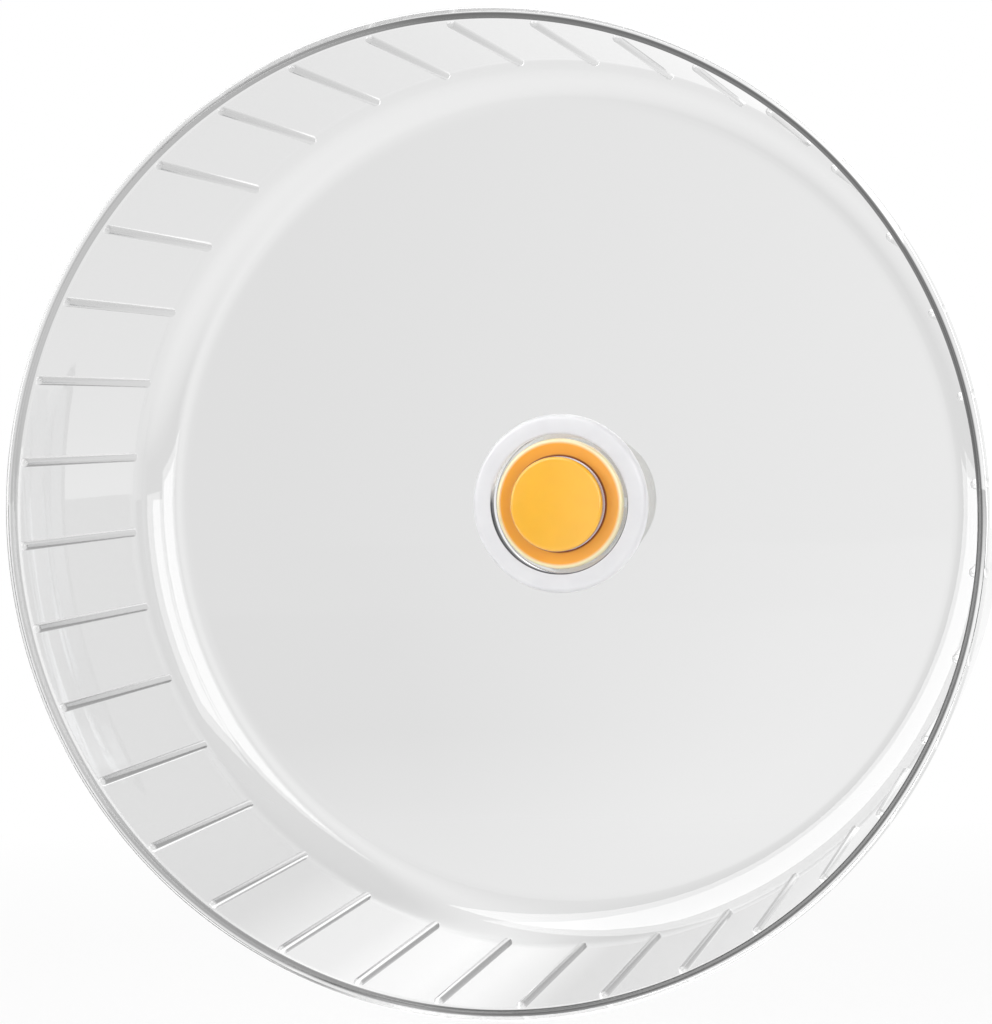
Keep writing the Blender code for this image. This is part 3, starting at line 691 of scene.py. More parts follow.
def fine_grain(tree, shader, size, detail, strength, depth):
    """Tilt the surface by a noise whose cells are this wide and deep, in millimetres."""
    place = add_node(tree, "ShaderNodeTexCoord").outputs["Object"]
    values = {"Scale": per_mm(size), "Detail": detail}
    grain = add_node(tree, "ShaderNodeTexNoise", values, {"Vector": place})
    values = {"Strength": strength, "Distance": depth * MM}
    bump = add_node(tree, "ShaderNodeBump", values, {"Height": grain})
    tree.links.new(bump.outputs[0], shader.inputs["Normal"])


# %% [markdown]
# ## Clear polystyrene
#
# The drum is injection moulded in clear polystyrene: hard, glassy and a touch grey. Light goes
# nearly straight through its flat walls and is bent or mirrored at every rounded edge, and that is
# all that draws it. A path tracer stops a lamp's light at a clear wall, which would put the hub in
# the dark. So rays that only ask for a lamp pass straight through, with a trace of grey.
#
# The rim's inner edge is painted shade: a dark line that stands in for the light its rounding bends
# away, paler towards the left, where more light falls. The ribs are painted greyer as shade for the
# same reason. Both are told apart by their distance from the axle.

# %% Distance from the axle


def places_from_axle(tree):
    """Object coordinates X, Y and Z, and the distance from the axle."""
    place = add_node(tree, "ShaderNodeTexCoord").outputs["Object"]
    axes = add_node(tree, "ShaderNodeSeparateXYZ", links={0: place})
    across = add_node(
        tree, "ShaderNodeVectorMath", {1: (1.0, 0.0, 1.0)}, {0: place}, operation="MULTIPLY"
    )
    radius = add_node(tree, "ShaderNodeVectorMath", links={0: across}, operation="LENGTH")
    return (*axes.outputs, radius.outputs["Value"])


# %% The rim's inner edge
EDGE_WIDTH = 1.4 * MM
EDGE_WIDTH_END = 1.8 * MM
EDGE_DEPTH = 0.9 * MM
EDGE_DEPTH_END = 1.5 * MM
LEFT_PAINTED_SHADE_SHARE = 0.55
LEFT_END = -0.1 * band_front


def painted_rim_shade_share(tree, x, y, radius):
    """Share of painted shade: 1 on the rounded inner edge of the rim, less on its left, 0 elsewhere.
    """
    fade = {"To Min": 1.0, "To Max": 0.0}
    inside = add_node(
        tree,
        "ShaderNodeMapRange",
        {"From Min": band_front + EDGE_WIDTH, "From Max": band_front + EDGE_WIDTH_END, **fade},
        {"Value": radius},
    )
    in_front = add_node(
        tree,
        "ShaderNodeMapRange",
        {"From Min": rim_plane + EDGE_DEPTH, "From Max": rim_plane + EDGE_DEPTH_END, **fade},
        {"Value": y},
    )
    edge = add_node(tree, "ShaderNodeMath", links={0: inside, 1: in_front}, operation="MULTIPLY")
    side = add_node(
        tree,
        "ShaderNodeMapRange",
        {"From Min": -band_front, "From Max": LEFT_END, "To Min": LEFT_PAINTED_SHADE_SHARE, "To Max": 1.0},
        {"Value": x},
    )
    return add_node(tree, "ShaderNodeMath", links={0: edge, 1: side}, operation="MULTIPLY")


# %% The ribs
RIB_GREY_START = 0.1 * MM
RIB_GREY_FULL = 0.7 * MM


def rib_share(tree, y, radius):
    """1 on the ribs, which stand higher than the running side of the band, and 0 elsewhere."""
    slope = math.tan(BAND_DRAFT)
    straightened = add_node(
        tree, "ShaderNodeMath", {1: slope}, {0: y, 2: radius}, operation="MULTIPLY_ADD"
    )
    wall = band_front + rim_plane * slope
    wall_range = {"From Min": wall - RIB_GREY_FULL, "From Max": wall - RIB_GREY_START}
    raised = add_node(
        tree,
        "ShaderNodeMapRange",
        {**wall_range, "To Min": 1.0, "To Max": 0.0},
        {"Value": straightened},
    )
    on_band = add_node(tree, "ShaderNodeMath", {1: rib_back}, {0: y}, operation="LESS_THAN")
    return add_node(tree, "ShaderNodeMath", links={0: raised, 1: on_band}, operation="MULTIPLY")


# %% Clear polystyrene, moulded and polished
PLASTIC_IOR = 1.53
CLEAR_TINT = "#E3E3E3"
CLEAR_SHADOW = "#FCFCFC"
# Painted shade: a dark line on the rim's inner edge, and a greyer tone on the ribs.
RIM_PAINTED_SHADE = "#2A2A2A"
RIB_PAINTED_SHADE = "#BCBCBC"


def make_clear_plastic():
    material, tree, shader = new_material(
        "clear_polystyrene_moulded", {"IOR": PLASTIC_IOR, "Transmission Weight": 1.0}
    )
    x, y, _, radius = places_from_axle(tree)
    rib = rib_share(tree, y, radius)
    rim = painted_rim_shade_share(tree, x, y, radius)
    tones = {6: linear(CLEAR_TINT), 7: linear(RIB_PAINTED_SHADE)}
    ribbed = add_node(tree, "ShaderNodeMix", tones, {0: rib}, data_type="RGBA")
    tint_with_painted_shade = add_node(
        tree,
        "ShaderNodeMix",
        {7: linear(RIM_PAINTED_SHADE)},
        {0: rim, 6: ribbed.outputs[2]},
        data_type="RGBA",
    )
    tree.links.new(tint_with_painted_shade.outputs[2], shader.inputs["Base Color"])
    uneven_polish(tree, shader, rib, low=0.02, high=0.12)
    fine_grain(tree, shader, size=38.0, detail=1.0, strength=1.0, depth=0.02)
    path = add_node(tree, "ShaderNodeLightPath")
    through = add_node(tree, "ShaderNodeBsdfTransparent", {"Color": linear(CLEAR_SHADOW)})
    mix = add_node(
        tree,
        "ShaderNodeMixShader",
        links={0: path.outputs["Is Shadow Ray"], 1: shader, 2: through},
    )
    tree.links.new(mix.outputs[0], tree.nodes["output"].inputs["Surface"])
    return material


clear_plastic = make_clear_plastic()
finish_piece(drum, clear_plastic, "wheel", "clear_plastic", "drum")

# %% [markdown]
# ## The collar
#
# A raised ring round the hub stiffens the disc. Its mould face was spark eroded, so it is frosted
# and scatters light: it reads as a soft white ring on the clear disc, a little cloudy. The lower
# half of its inner wall, in the narrow gap beside the hub, gets hardly any light, so it is painted
# dark as shade. The ring is a piece of its own here, a hair's breadth off the disc, so that the
# frosted and the clear surface don't share faces.

# %% Painted shade on the wall in the gap
COLLAR_GAP = 1.3 * MM
DARK_WALL = 0.2 * MM
DARK_WALL_END = 0.4 * MM
collar_inner = radius_of("hub_sleeve") + COLLAR_GAP
dark_top = 0.3 * collar_inner


def painted_gap_shade_share(tree):
    """1 on the lower half of the collar's inner wall, where shade is painted, and 0 elsewhere."""
    _, _, z, radius = places_from_axle(tree)
    fade = {"To Min": 1.0, "To Max": 0.0}
    wall_range = {
        "From Min": collar_inner + DARK_WALL,
        "From Max": collar_inner + DARK_WALL_END,
    }
    wall = add_node(tree, "ShaderNodeMapRange", {**wall_range, **fade}, {"Value": radius})
    below = add_node(
        tree,
        "ShaderNodeMapRange",
        {"From Min": 0.0, "From Max": dark_top, **fade},
        {"Value": z},
    )
    return add_node(tree, "ShaderNodeMath", links={0: wall, 1: below}, operation="MULTIPLY")


# %% Frosted polystyrene
# Painted shade on the lower half of the collar's inner wall.
GAP_PAINTED_SHADE = "#2E2E34"


def make_frosted_plastic():
    material, tree, shader = new_material(
        "polystyrene_frosted",
        {"Roughness": 0.3, "IOR": PLASTIC_IOR, "Transmission Weight": 0.3},
    )
    _, tone = cloudy_colour(
        tree, shader, size=8.0, detail=2.0, dark="#ECECEF", light="#FAFAFB"
    )
    colour = add_node(
        tree,
        "ShaderNodeMix",
        {7: linear(GAP_PAINTED_SHADE)},
        {0: painted_gap_shade_share(tree), 6: tone},
        data_type="RGBA",
    )
    tree.links.new(colour.outputs[2], shader.inputs["Base Color"])
    fine_grain(tree, shader, size=0.35, detail=2.0, strength=0.4, depth=0.02)
    return material


frosted_plastic = make_frosted_plastic()

# %% Collar
COLLAR_WALL = 5.8 * MM
COLLAR_HEIGHT = 3.0 * MM
COLLAR_OUTER_ROUNDING = 1.6 * MM
COLLAR_INNER_ROUNDING = 0.8 * MM
COLLAR_SEAT = 0.05 * MM
COLLAR_STEPS = 144
collar_outer = collar_inner + COLLAR_WALL
collar_front = disc_face - COLLAR_HEIGHT
collar_back = disc_face - COLLAR_SEAT

collar = turned(
    "drum_collar",
    [
        (collar_inner, collar_back, 0.0),
        (collar_inner, collar_front, COLLAR_INNER_ROUNDING),
        (collar_outer, collar_front, COLLAR_OUTER_ROUNDING),
        (collar_outer, collar_back, 0.0),
    ],
    COLLAR_STEPS,
)
finish_piece(collar, frosted_plastic, "wheel", "clear_plastic", "drum")

# %% [markdown]
# ## Orange hub plastic
#
# The hub is moulded in a tinted, see-through orange, lightest on the broad face of the cap. The
# cap's wall, seen edge on, and a thin ring round the cap's foot are painted shade in deep amber,
# and the flange's rounded rim is a painted highlight, palest yellow. The cap is painted by its
# place along the axle and the flange by its distance from it, with a slow cloudiness mixed in. A
# thin clear coat gives the polish of the mould.

# %% Tones of the cap and of the flange
FACE_ORANGE = "#FCBC33"
AMBER_PAINTED_SHADE = "#873A00"
RING_ORANGE = "#FFAE36"
YELLOW_PAINTED_HIGHLIGHT = "#FFEFC4"
cap_front = front_of("hub_cap")
flange_front = front_of("hub_sleeve")
cap_radius = radius_of("hub_cap")
flange_radius = radius_of("hub_sleeve")
# Painted shade: deep amber on the cap's wall and in a thin ring at its foot. Painted highlight: pale
# yellow on the flange's rim.
CAP_TONES = [(cap_front + 0.35 * MM, FACE_ORANGE), (cap_front + 1.0 * MM, AMBER_PAINTED_SHADE)]
FLANGE_TONES = [
    (cap_radius + 0.3 * MM, AMBER_PAINTED_SHADE),
    (cap_radius + 0.7 * MM, RING_ORANGE),
    (flange_radius - 1.6 * MM, RING_ORANGE),
    (flange_radius - 0.8 * MM, YELLOW_PAINTED_HIGHLIGHT),
]


def tone_by_place(tree, place, first, last, tones):
    """Colour by a place that runs from first to last, with tones given at places between."""
    along = add_node(
        tree, "ShaderNodeMapRange", {"From Min": first, "From Max": last}, {"Value": place}
    )
    colour = add_node(tree, "ShaderNodeValToRGB", links={0: along})
    stops = colour.color_ramp.elements
    while len(stops) < len(tones):
        stops.new(1.0)
    for stop, (tone_place, tone) in zip(stops, tones):
        stop.position = (tone_place - first) / (last - first)
        stop.color = linear(tone)
    return colour


# %% Orange polystyrene, tinted and moulded
FLANGE_MARGIN = 0.05 * MM
CLOUD_SIZE = 9.0
CLOUD_DARK = 0.93
CLOUD_LIGHT = 1.05


def make_orange_plastic():
    material, tree, shader = new_material(
        "orange_polystyrene_tinted",
        {
            "Roughness": 0.22,
            "IOR": PLASTIC_IOR,
            "Coat Weight": 0.3,
            "Coat Roughness": 0.06,
            "Subsurface Weight": 0.25,
            "Subsurface Radius": (1.0, 0.45, 0.12),
            "Subsurface Scale": 2.0 * MM,
        },
    )
    _, y, _, radius = places_from_axle(tree)
    cap_tone = tone_by_place(tree, y, cap_front, flange_front, CAP_TONES)
    flange_tone = tone_by_place(tree, radius, cap_radius, flange_radius, FLANGE_TONES)
    on_flange = add_node(
        tree, "ShaderNodeMath", {1: flange_front - FLANGE_MARGIN}, {0: y}, operation="GREATER_THAN"
    )
    links = {0: on_flange, 6: cap_tone, 7: flange_tone}
    colour = add_node(tree, "ShaderNodeMix", links=links, data_type="RGBA")
    place = add_node(tree, "ShaderNodeTexCoord").outputs["Object"]
    values = {"Scale": per_mm(CLOUD_SIZE), "Detail": 2.0}
    clouds = add_node(tree, "ShaderNodeTexNoise", values, {"Vector": place})
    values = {"To Min": CLOUD_DARK, "To Max": CLOUD_LIGHT}
    depth = add_node(tree, "ShaderNodeMapRange", values, {"Value": clouds})
    clouded = add_node(
        tree,
        "ShaderNodeMix",
        {0: 1.0},
        {6: colour.outputs[2], 7: depth},
        data_type="RGBA",
        blend_type="MULTIPLY",
    )
    tree.links.new(clouded.outputs[2], shader.inputs["Base Color"])
    return material


orange_plastic = make_orange_plastic()

# %% [markdown]
# ## The hub
#
# The sleeve holds both bearings and its flange shows round the cap. It is turned from one half
# section: flange, barrel, a groove for the snap ring, a lip between the bearings and a counterbore
# for the cap. The cap is a shallow cup that snaps into the counterbore and closes the hub. Both
# could be plain cylinders, but the rounded edges are what catches the light.

# %% Hub sleeve
HUB_STEPS = 128
HUB_ROUNDING = 1.0 * MM
FINE_EDGE = 0.25 * MM
HOUSING_RADIUS = 11.3 * MM
COUNTERBORE_STEP = 1.3 * MM
LIP_HEIGHT = 1.7 * MM
flange_back = disc_face - FIT_GAP
sleeve_back = back_of("hub_sleeve")
counterbore = HOUSING_RADIUS + COUNTERBORE_STEP
front_seat = front_of("front_bearing_outer_ring")
rear_seat = back_of("rear_bearing_outer_ring")
groove_back = back_of("snap_ring") + FIT_GAP
groove_radius = radius_of("snap_ring") + FIT_GAP
lip_radius = HOUSING_RADIUS - LIP_HEIGHT
lip_front = front_of("bearing_spacer")
lip_back = back_of("bearing_spacer")

hub_sleeve = turned(
    "hub_sleeve_body",
    [
        (counterbore, flange_front, FINE_EDGE),
        (flange_radius, flange_front, HUB_ROUNDING),
        (flange_radius, flange_back, FINE_EDGE),
        (SLEEVE_RADIUS, flange_back, 0.0),
        (SLEEVE_RADIUS, sleeve_back, SOFT_EDGE),
        (HOUSING_RADIUS, sleeve_back, FINE_EDGE),
        (HOUSING_RADIUS, groove_back, 0.0),
        (groove_radius, groove_back, 0.0),
        (groove_radius, rear_seat, 0.0),
        (HOUSING_RADIUS, rear_seat, 0.0),
        (HOUSING_RADIUS, lip_back, 0.0),
        (lip_radius, lip_back, FINE_EDGE),
        (lip_radius, lip_front, FINE_EDGE),
        (HOUSING_RADIUS, lip_front, 0.0),
        (HOUSING_RADIUS, front_seat, 0.0),
        (counterbore, front_seat, 0.0),
    ],
    HUB_STEPS,
)
finish_piece(hub_sleeve, orange_plastic, "wheel", "orange_plastic", "hub_sleeve")

# %% Hub cap
CAP_WALL = 1.6 * MM
SPIGOT_LENGTH = 1.2 * MM
spigot_back = back_of("hub_cap")
spigot_front = spigot_back - SPIGOT_LENGTH
spigot_radius = counterbore - FIT_GAP
hollow_radius = spigot_radius - CAP_WALL

hub_cap = turned(
    "hub_cap_cup",
    [
        (0.0, cap_front, 0.0),
        (cap_radius, cap_front, HUB_ROUNDING),
        (cap_radius, spigot_front, FINE_EDGE),
        (spigot_radius, spigot_front, 0.0),
        (spigot_radius, spigot_back, FINE_EDGE),
        (hollow_radius, spigot_back, FINE_EDGE),
        (hollow_radius, cap_front + CAP_WALL, SOFT_EDGE),
        (0.0, cap_front + CAP_WALL, 0.0),
    ],
    HUB_STEPS,
    closed=False,
)
finish_piece(hub_cap, orange_plastic, "wheel", "orange_plastic", "hub_cap")

# %% [markdown]
# ## White nylon
#
# The nut that holds the hub to the disc, the flange on the cage, the clamp plate and the wing nut
# are moulded in natural white nylon. It is waxy rather than shiny: a little light goes in and
# comes out again, and the fine grain of the mould breaks up the highlights.

# %% White nylon, moulded


def make_white_nylon():
    material, tree, shader = new_material(
        "white_nylon_moulded",
        {
            "Roughness": 0.42,
            "IOR": PLASTIC_IOR,
            "Subsurface Weight": 0.15,
            "Subsurface Radius": (1.0, 0.9, 0.8),
            "Subsurface Scale": 1.0 * MM,
        },
    )
    cloudy_colour(tree, shader, size=14.0, detail=3.0, dark="#EAE9E4", light="#F4F3F0")
    fine_grain(tree, shader, size=0.5, detail=2.0, strength=0.35, depth=0.03)
    return material


white_nylon = make_white_nylon()

# %% [markdown]
# ## The hub nut
#
# A ring behind the boss that is screwed on with a pin spanner, so it has six notches round its
# edge. One notch cutter is a bevelled cube, which Spin copies round the axis before a Boolean cuts
# all six at once.

# %% Hub nut with its notches
NOTCH_COUNT = 6
NOTCH_WIDTH = 3.0 * MM
NOTCH_DEPTH = 1.5 * MM
NOTCH_ROUNDING = 0.6 * MM
NOTCH_ROUNDING_STEPS = 3
nut_front = front_of("hub_nut")
nut_back = back_of("hub_nut")
nut_radius = radius_of("hub_nut")


def make_notches():
    clear_selection()
    bpy.ops.mesh.primitive_cube_add(size=1.0)
    notches = bpy.context.object
    bpy.ops.object.mode_set(mode="EDIT")
    bpy.ops.transform.resize(value=(2.0 * NOTCH_DEPTH, 2.0 * (nut_back - nut_front), NOTCH_WIDTH))
    bpy.ops.mesh.bevel(offset=NOTCH_ROUNDING, segments=NOTCH_ROUNDING_STEPS, affect="EDGES")
    bpy.ops.mesh.select_all(action="SELECT")
    bpy.ops.transform.translate(value=(nut_radius, (nut_front + nut_back) / 2.0, 0.0))
    copy_round(NOTCH_COUNT)
    return close_up(notches)


hub_nut = turned(
    "hub_nut_ring",
    [
        (bore_radius, nut_front, FINE_EDGE),
        (nut_radius, nut_front, SOFT_EDGE),
        (nut_radius, nut_back, SOFT_EDGE),
        (bore_radius, nut_back, FINE_EDGE),
    ],
    HUB_STEPS,
)
combine(hub_nut, make_notches(), "DIFFERENCE")
finish_piece(hub_nut, white_nylon, "wheel", "white_nylon", "hub_nut")

# %% [markdown]
# ## The cage flange and the clamp plate
#
# Two round plates grip the bars of the cage between them. The flange on the wheel's side has a
# six-sided pocket that keeps the axle from turning. The clamp plate slides on the stud. Both are
# turned with rounded edges, and a shallow ring is pressed into the plate's back, round the washer
# that bears on it.

# %% A six-sided bar
HEX_FLATS = 13.0 * MM
HEX_ROUNDING_STEPS = 2


def make_hexagon(name, flats, front, back, rounding=0.0):
    """A six-sided bar along the axle, its flats this far apart."""
    clear_selection()
    bpy.ops.mesh.primitive_cylinder_add(
        vertices=6,
        radius=flats / math.sqrt(3.0),
        depth=back - front,
        location=(0.0, (front + back) / 2.0, 0.0),
        rotation=(math.pi / 2.0, 0.0, 0.0),
    )
    hexagon = bpy.context.object
    hexagon.name = name
    bpy.ops.object.transform_apply(location=True, rotation=True)
    if rounding:
        bpy.ops.object.mode_set(mode="EDIT")
        bpy.ops.mesh.select_all(action="SELECT")
        bpy.ops.mesh.bevel(offset=rounding, segments=HEX_ROUNDING_STEPS, affect="EDGES")
        bpy.ops.object.mode_set(mode="OBJECT")
    return hexagon


# %% Flange with its pocket
PLATE_ROUNDING = 1.2 * MM
STUD_RADIUS = 4.0 * MM
POCKET_DEPTH = 2.0 * MM
stud_hole = STUD_RADIUS + FIT_GAP
pocket_flats = HEX_FLATS + 2.0 * FIT_GAP
mount_front = front_of("mount_flange")
mount_back = back_of("mount_flange")
mount_radius = radius_of("mount_flange")

mount_flange = turned(
    "mount_flange_plate",
    [
        (stud_hole, mount_front, FINE_EDGE),
        (mount_radius, mount_front, PLATE_ROUNDING),
        (mount_radius, mount_back, FINE_EDGE),
        (stud_hole, mount_back, FINE_EDGE),
    ],
    HUB_STEPS,
)
pocket_end = mount_front + POCKET_DEPTH
pocket = make_hexagon("pocket", pocket_flats, mount_front - POCKET_DEPTH, pocket_end)
combine(mount_flange, pocket, "DIFFERENCE")
finish_piece(mount_flange, white_nylon, "cage_mount", "white_nylon", "mount_flange")

# %% Clamp plate
SEAT_MARGIN = 1.4 * MM
SEAT_WIDTH = 0.9 * MM
SEAT_DEPTH = 0.35 * MM
plate_front = front_of("clamp_plate")
plate_back = back_of("clamp_plate")
plate_radius = radius_of("clamp_plate")
washer_radius = radius_of("clamp_washer")
seat_inner = washer_radius + SEAT_MARGIN
seat_outer = seat_inner + SEAT_WIDTH

clamp_plate = turned(
    "clamp_plate_disc",
    [
        (stud_hole, plate_front, FINE_EDGE),
        (plate_radius, plate_front, FINE_EDGE),
        (plate_radius, plate_back, PLATE_ROUNDING),
        (seat_outer, plate_back, 0.0),
        (seat_outer, plate_back - SEAT_DEPTH, 0.0),
        (seat_inner, plate_back - SEAT_DEPTH, 0.0),
        (seat_inner, plate_back, 0.0),
        (stud_hole, plate_back, FINE_EDGE),
    ],
    HUB_STEPS,
)
finish_piece(clamp_plate, white_nylon, "clamp", "white_nylon", "clamp_plate")

# %% [markdown]
# ## The wing nut
#
# A round threaded body with two flat ears for thumb and finger. Body and ears are turned as
# separate simple solids, joined, and then remeshed and smoothed, which melts the joint between
# them into the soft fillets of a moulding. The bore is cut last, so that it stays round.

# %% An ear of the wing nut
EAR_RADIUS = 6.0 * MM
EAR_THICKNESS = 4.0 * MM
EAR_ROUNDING = 0.9 * MM
EAR_HOLLOW = 3.6 * MM
EAR_GRIP = 0.7 * MM
EAR_LIFT = 0.6 * MM
EAR_STEPS = 48
wing_front = front_of("wing_nut")
ear_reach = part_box("wing_nut")[1].x - EAR_RADIUS


def make_ear(side):
    """A round ear, hollowed a little on both sides for the fingers."""
    half = EAR_THICKNESS / 2.0
    ear = turned(
        "ear",
        [
            (0.0, -half + EAR_GRIP, 0.0),
            (EAR_HOLLOW, -half + EAR_GRIP, SOFT_EDGE),
            (EAR_RADIUS - PLATE_ROUNDING, -half, FINE_EDGE),
            (EAR_RADIUS, -half, EAR_ROUNDING),
            (EAR_RADIUS, half, EAR_ROUNDING),
            (EAR_RADIUS - PLATE_ROUNDING, half, FINE_EDGE),
            (EAR_HOLLOW, half - EAR_GRIP, SOFT_EDGE),
            (0.0, half - EAR_GRIP, 0.0),
        ],
        EAR_STEPS,
        closed=False,
    )
    bpy.ops.object.mode_set(mode="EDIT")
    bpy.ops.mesh.select_all(action="SELECT")
    bpy.ops.transform.rotate(value=math.pi / 2.0, orient_axis="X", center_override=ORIGIN)
    bpy.ops.transform.translate(value=(side * ear_reach, wing_front + EAR_LIFT + EAR_RADIUS, 0.0))
    bpy.ops.object.mode_set(mode="OBJECT")
    return ear


# %% Wing nut
NUT_RADIUS = 7.5 * MM
NUT_LENGTH = 8.0 * MM
STUD_STEPS = 64
REMESH_CELL = 0.3 * MM
SOFTEN_FACTOR = 0.5
SOFTEN_ROUNDS = 8
BORE_CHAMFER = 0.6 * MM
wing_back = wing_front + NUT_LENGTH


def make_blank():
    """The nut's body with both ears, melted into one soft shape."""
    nut = turned(
        "wing_nut_body",
        [
            (0.0, wing_front, 0.0),
            (NUT_RADIUS, wing_front, SOFT_EDGE),
            (NUT_RADIUS, wing_back, PLATE_ROUNDING),
            (0.0, wing_back, 0.0),
        ],
        STUD_STEPS,
        closed=False,
    )
    for side in (-1.0, 1.0):
        combine(nut, make_ear(side), "UNION")
    remesh = nut.modifiers.new("remesh", "REMESH")
    remesh.mode = "VOXEL"
    remesh.voxel_size = REMESH_CELL
    soften = nut.modifiers.new("soften", "SMOOTH")
    soften.factor = SOFTEN_FACTOR
    soften.iterations = SOFTEN_ROUNDS
    for name in ("remesh", "soften"):
        bpy.ops.object.modifier_apply(modifier=name)
    bpy.ops.object.shade_smooth()
    return nut


def make_bore():
    """A round cutter with a lead-in at the front."""
    return turned(
        "bore",
        [
            (0.0, wing_front - MM, 0.0),
            (stud_hole + BORE_CHAMFER, wing_front - MM, 0.0),
            (stud_hole, wing_front + BORE_CHAMFER, 0.0),
            (stud_hole, wing_back + MM, 0.0),
            (0.0, wing_back + MM, 0.0),
        ],
        STUD_STEPS,
        closed=False,
    )


wing_nut = make_blank()
combine(wing_nut, make_bore(), "DIFFERENCE")
finish_piece(wing_nut, white_nylon, "wing_nut", "white_nylon", "wing_nut")

# %% [markdown]
# ## Rubber pads
#
# A grey rubber ring on each plate keeps the bars from slipping. Moulded rubber is matt and
# slightly dusty. Four fine grooves run round the gripping face of each pad: they are drawn into
# the half section, so they are real shape and not only a pattern.

# %% Grey rubber, moulded


def make_grey_rubber():
    material, tree, shader = new_material(
        "grey_rubber_moulded", {"IOR": 1.52, "Sheen Weight": 0.15}
    )
    dust, _ = cloudy_colour(tree, shader, size=6.0, detail=5.0, dark="#7F8082", light="#989997")
    uneven_polish(tree, shader, dust, low=0.72, high=0.92)
    fine_grain(tree, shader, size=0.4, detail=3.0, strength=0.6, depth=0.04)
    return material


grey_rubber = make_grey_rubber()

# %% Pads with gripping grooves
GROOVE_COUNT = 4
GROOVE_WIDTH = 1.0 * MM
GROOVE_DEPTH = 0.5 * MM
PAD_HOLE = 7.0 * MM
PAD_ROUNDING = 0.3 * MM
PAD_ROUNDING_STEPS = 3


def make_pad(name, node, grip, other):
    """A ring with grooves in its gripping face, at grip. Its plain face lies at other."""
    edge = radius_of(node)
    bottom = grip + (GROOVE_DEPTH if other > grip else -GROOVE_DEPTH)
    corners = [(PAD_HOLE, other, 0.0), (PAD_HOLE, grip, PAD_ROUNDING)]
    pitch = (edge - PAD_HOLE) / (GROOVE_COUNT + 1)
    half = GROOVE_WIDTH / 2.0
    for i in range(GROOVE_COUNT):
        middle = PAD_HOLE + pitch * (i + 1)
        corners += [
            (middle - half, grip, 0.0),
            (middle - half / 2.0, bottom, 0.0),
            (middle + half / 2.0, bottom, 0.0),
            (middle + half, grip, 0.0),
        ]
    corners += [(edge, grip, PAD_ROUNDING), (edge, other, 0.0)]
    return turned(name, corners, HUB_STEPS, rounding_steps=PAD_ROUNDING_STEPS)


mount_pad = make_pad("mount_pad_ring", "mount_pad", back_of("mount_pad"), front_of("mount_pad"))
finish_piece(mount_pad, grey_rubber, "cage_mount", "grey_rubber", "mount_pad")
clamp_pad = make_pad("clamp_pad_ring", "clamp_pad", front_of("clamp_pad"), back_of("clamp_pad"))
finish_piece(clamp_pad, grey_rubber, "clamp", "grey_rubber", "clamp_pad")

# %% [markdown]
# ## Plated steel
#
# The axle, its washers and the spacer are turned steel with a thin coat of bright zinc. Zinc is a
# little blue and never quite even, and the lathe leaves fine rings about the axis. The rings are
# drawn coarser than real tool marks, which would be too fine to show.

# %% Bright zinc on turned steel
RING_WIDTH = 0.4
RING_DEPTH = 0.02 * MM
WAVE_SCALE = 20.0


def make_bright_steel():
    material, tree, shader = new_material("steel_bright_zinc", {"Metallic": 1.0})
    bloom, _ = cloudy_colour(tree, shader, size=3.0, detail=4.0, dark="#C3C7CC", light="#DCDEE0")
    uneven_polish(tree, shader, bloom, low=0.18, high=0.38)
    place = add_node(tree, "ShaderNodeTexCoord").outputs["Object"]
    rings = add_node(
        tree,
        "ShaderNodeTexWave",
        {"Scale": per_mm(RING_WIDTH) / WAVE_SCALE, "Distortion": 0.4},
        {"Vector": place},
        wave_type="RINGS",
        rings_direction="Y",
    )
    values = {"Strength": 0.25, "Distance": RING_DEPTH}
    bump = add_node(tree, "ShaderNodeBump", values, {"Height": rings.outputs["Fac"]})
    tree.links.new(bump.outputs[0], shader.inputs["Normal"])
    return material


bright_steel = make_bright_steel()

# %% [markdown]
# ## The axle and its stud
#
# The front half is a plain journal for the bearings with a groove for a clip, the middle a
# hexagon, and the back half an M8 stud. A thread could be faked with a bump, but the wing nut runs
# on it in plain sight, so it is cut for real: the section of one ridge is swept by a Screw
# modifier and trimmed to the chamfer of the stud's end. Its foot is sunk a little into the bar, so
# that the Boolean that joins them meets no two faces in the same place.

# %% The ridge of the thread
THREAD_PITCH = 1.25 * MM
THREAD_DEPTH = 0.67 * MM
THREAD_STEPS = 40
THREAD_SINK = 0.12 * MM
THREAD_PLAY = 0.05 * MM
stud_back = back_of("axle")
thread_root = STUD_RADIUS - THREAD_DEPTH
ridge_foot = thread_root - THREAD_SINK
ridge_crest = STUD_RADIUS - THREAD_PLAY
RIDGE = [(ridge_foot, 0.06), (ridge_crest, 0.44), (ridge_crest, 0.56), (ridge_foot, 0.94)]


def make_thread():
    """Sweep the ridge, given as radii with shares of the pitch, round the stud and close it."""
    start = mount_back - THREAD_PITCH
    places = [Vector((radius, start + share * THREAD_PITCH, 0.0)) for radius, share in RIDGE]
    thread = draw_line("thread", places, closed=True)
    bpy.ops.object.mode_set(mode="OBJECT")
    sweep = thread.modifiers.new("sweep", "SCREW")
    sweep.axis = "Y"
    sweep.screw_offset = THREAD_PITCH
    sweep.iterations = math.ceil((stud_back - start) / THREAD_PITCH) + 1
    sweep.steps = sweep.render_steps = THREAD_STEPS
    bpy.ops.object.modifier_apply(modifier=sweep.name)
    bpy.ops.object.mode_set(mode="EDIT")
    bpy.ops.mesh.select_all(action="SELECT")
    bpy.ops.mesh.fill_holes(sides=len(RIDGE))
    return close_up(thread)


# %% The thread, trimmed
STUD_CHAMFER = 0.8 * MM
stud_tip = STUD_RADIUS - STUD_CHAMFER
trim_front = mount_back - 3.0 * THREAD_PITCH
trim_back = stud_back - THREAD_PLAY
trim_radius = STUD_RADIUS + MM

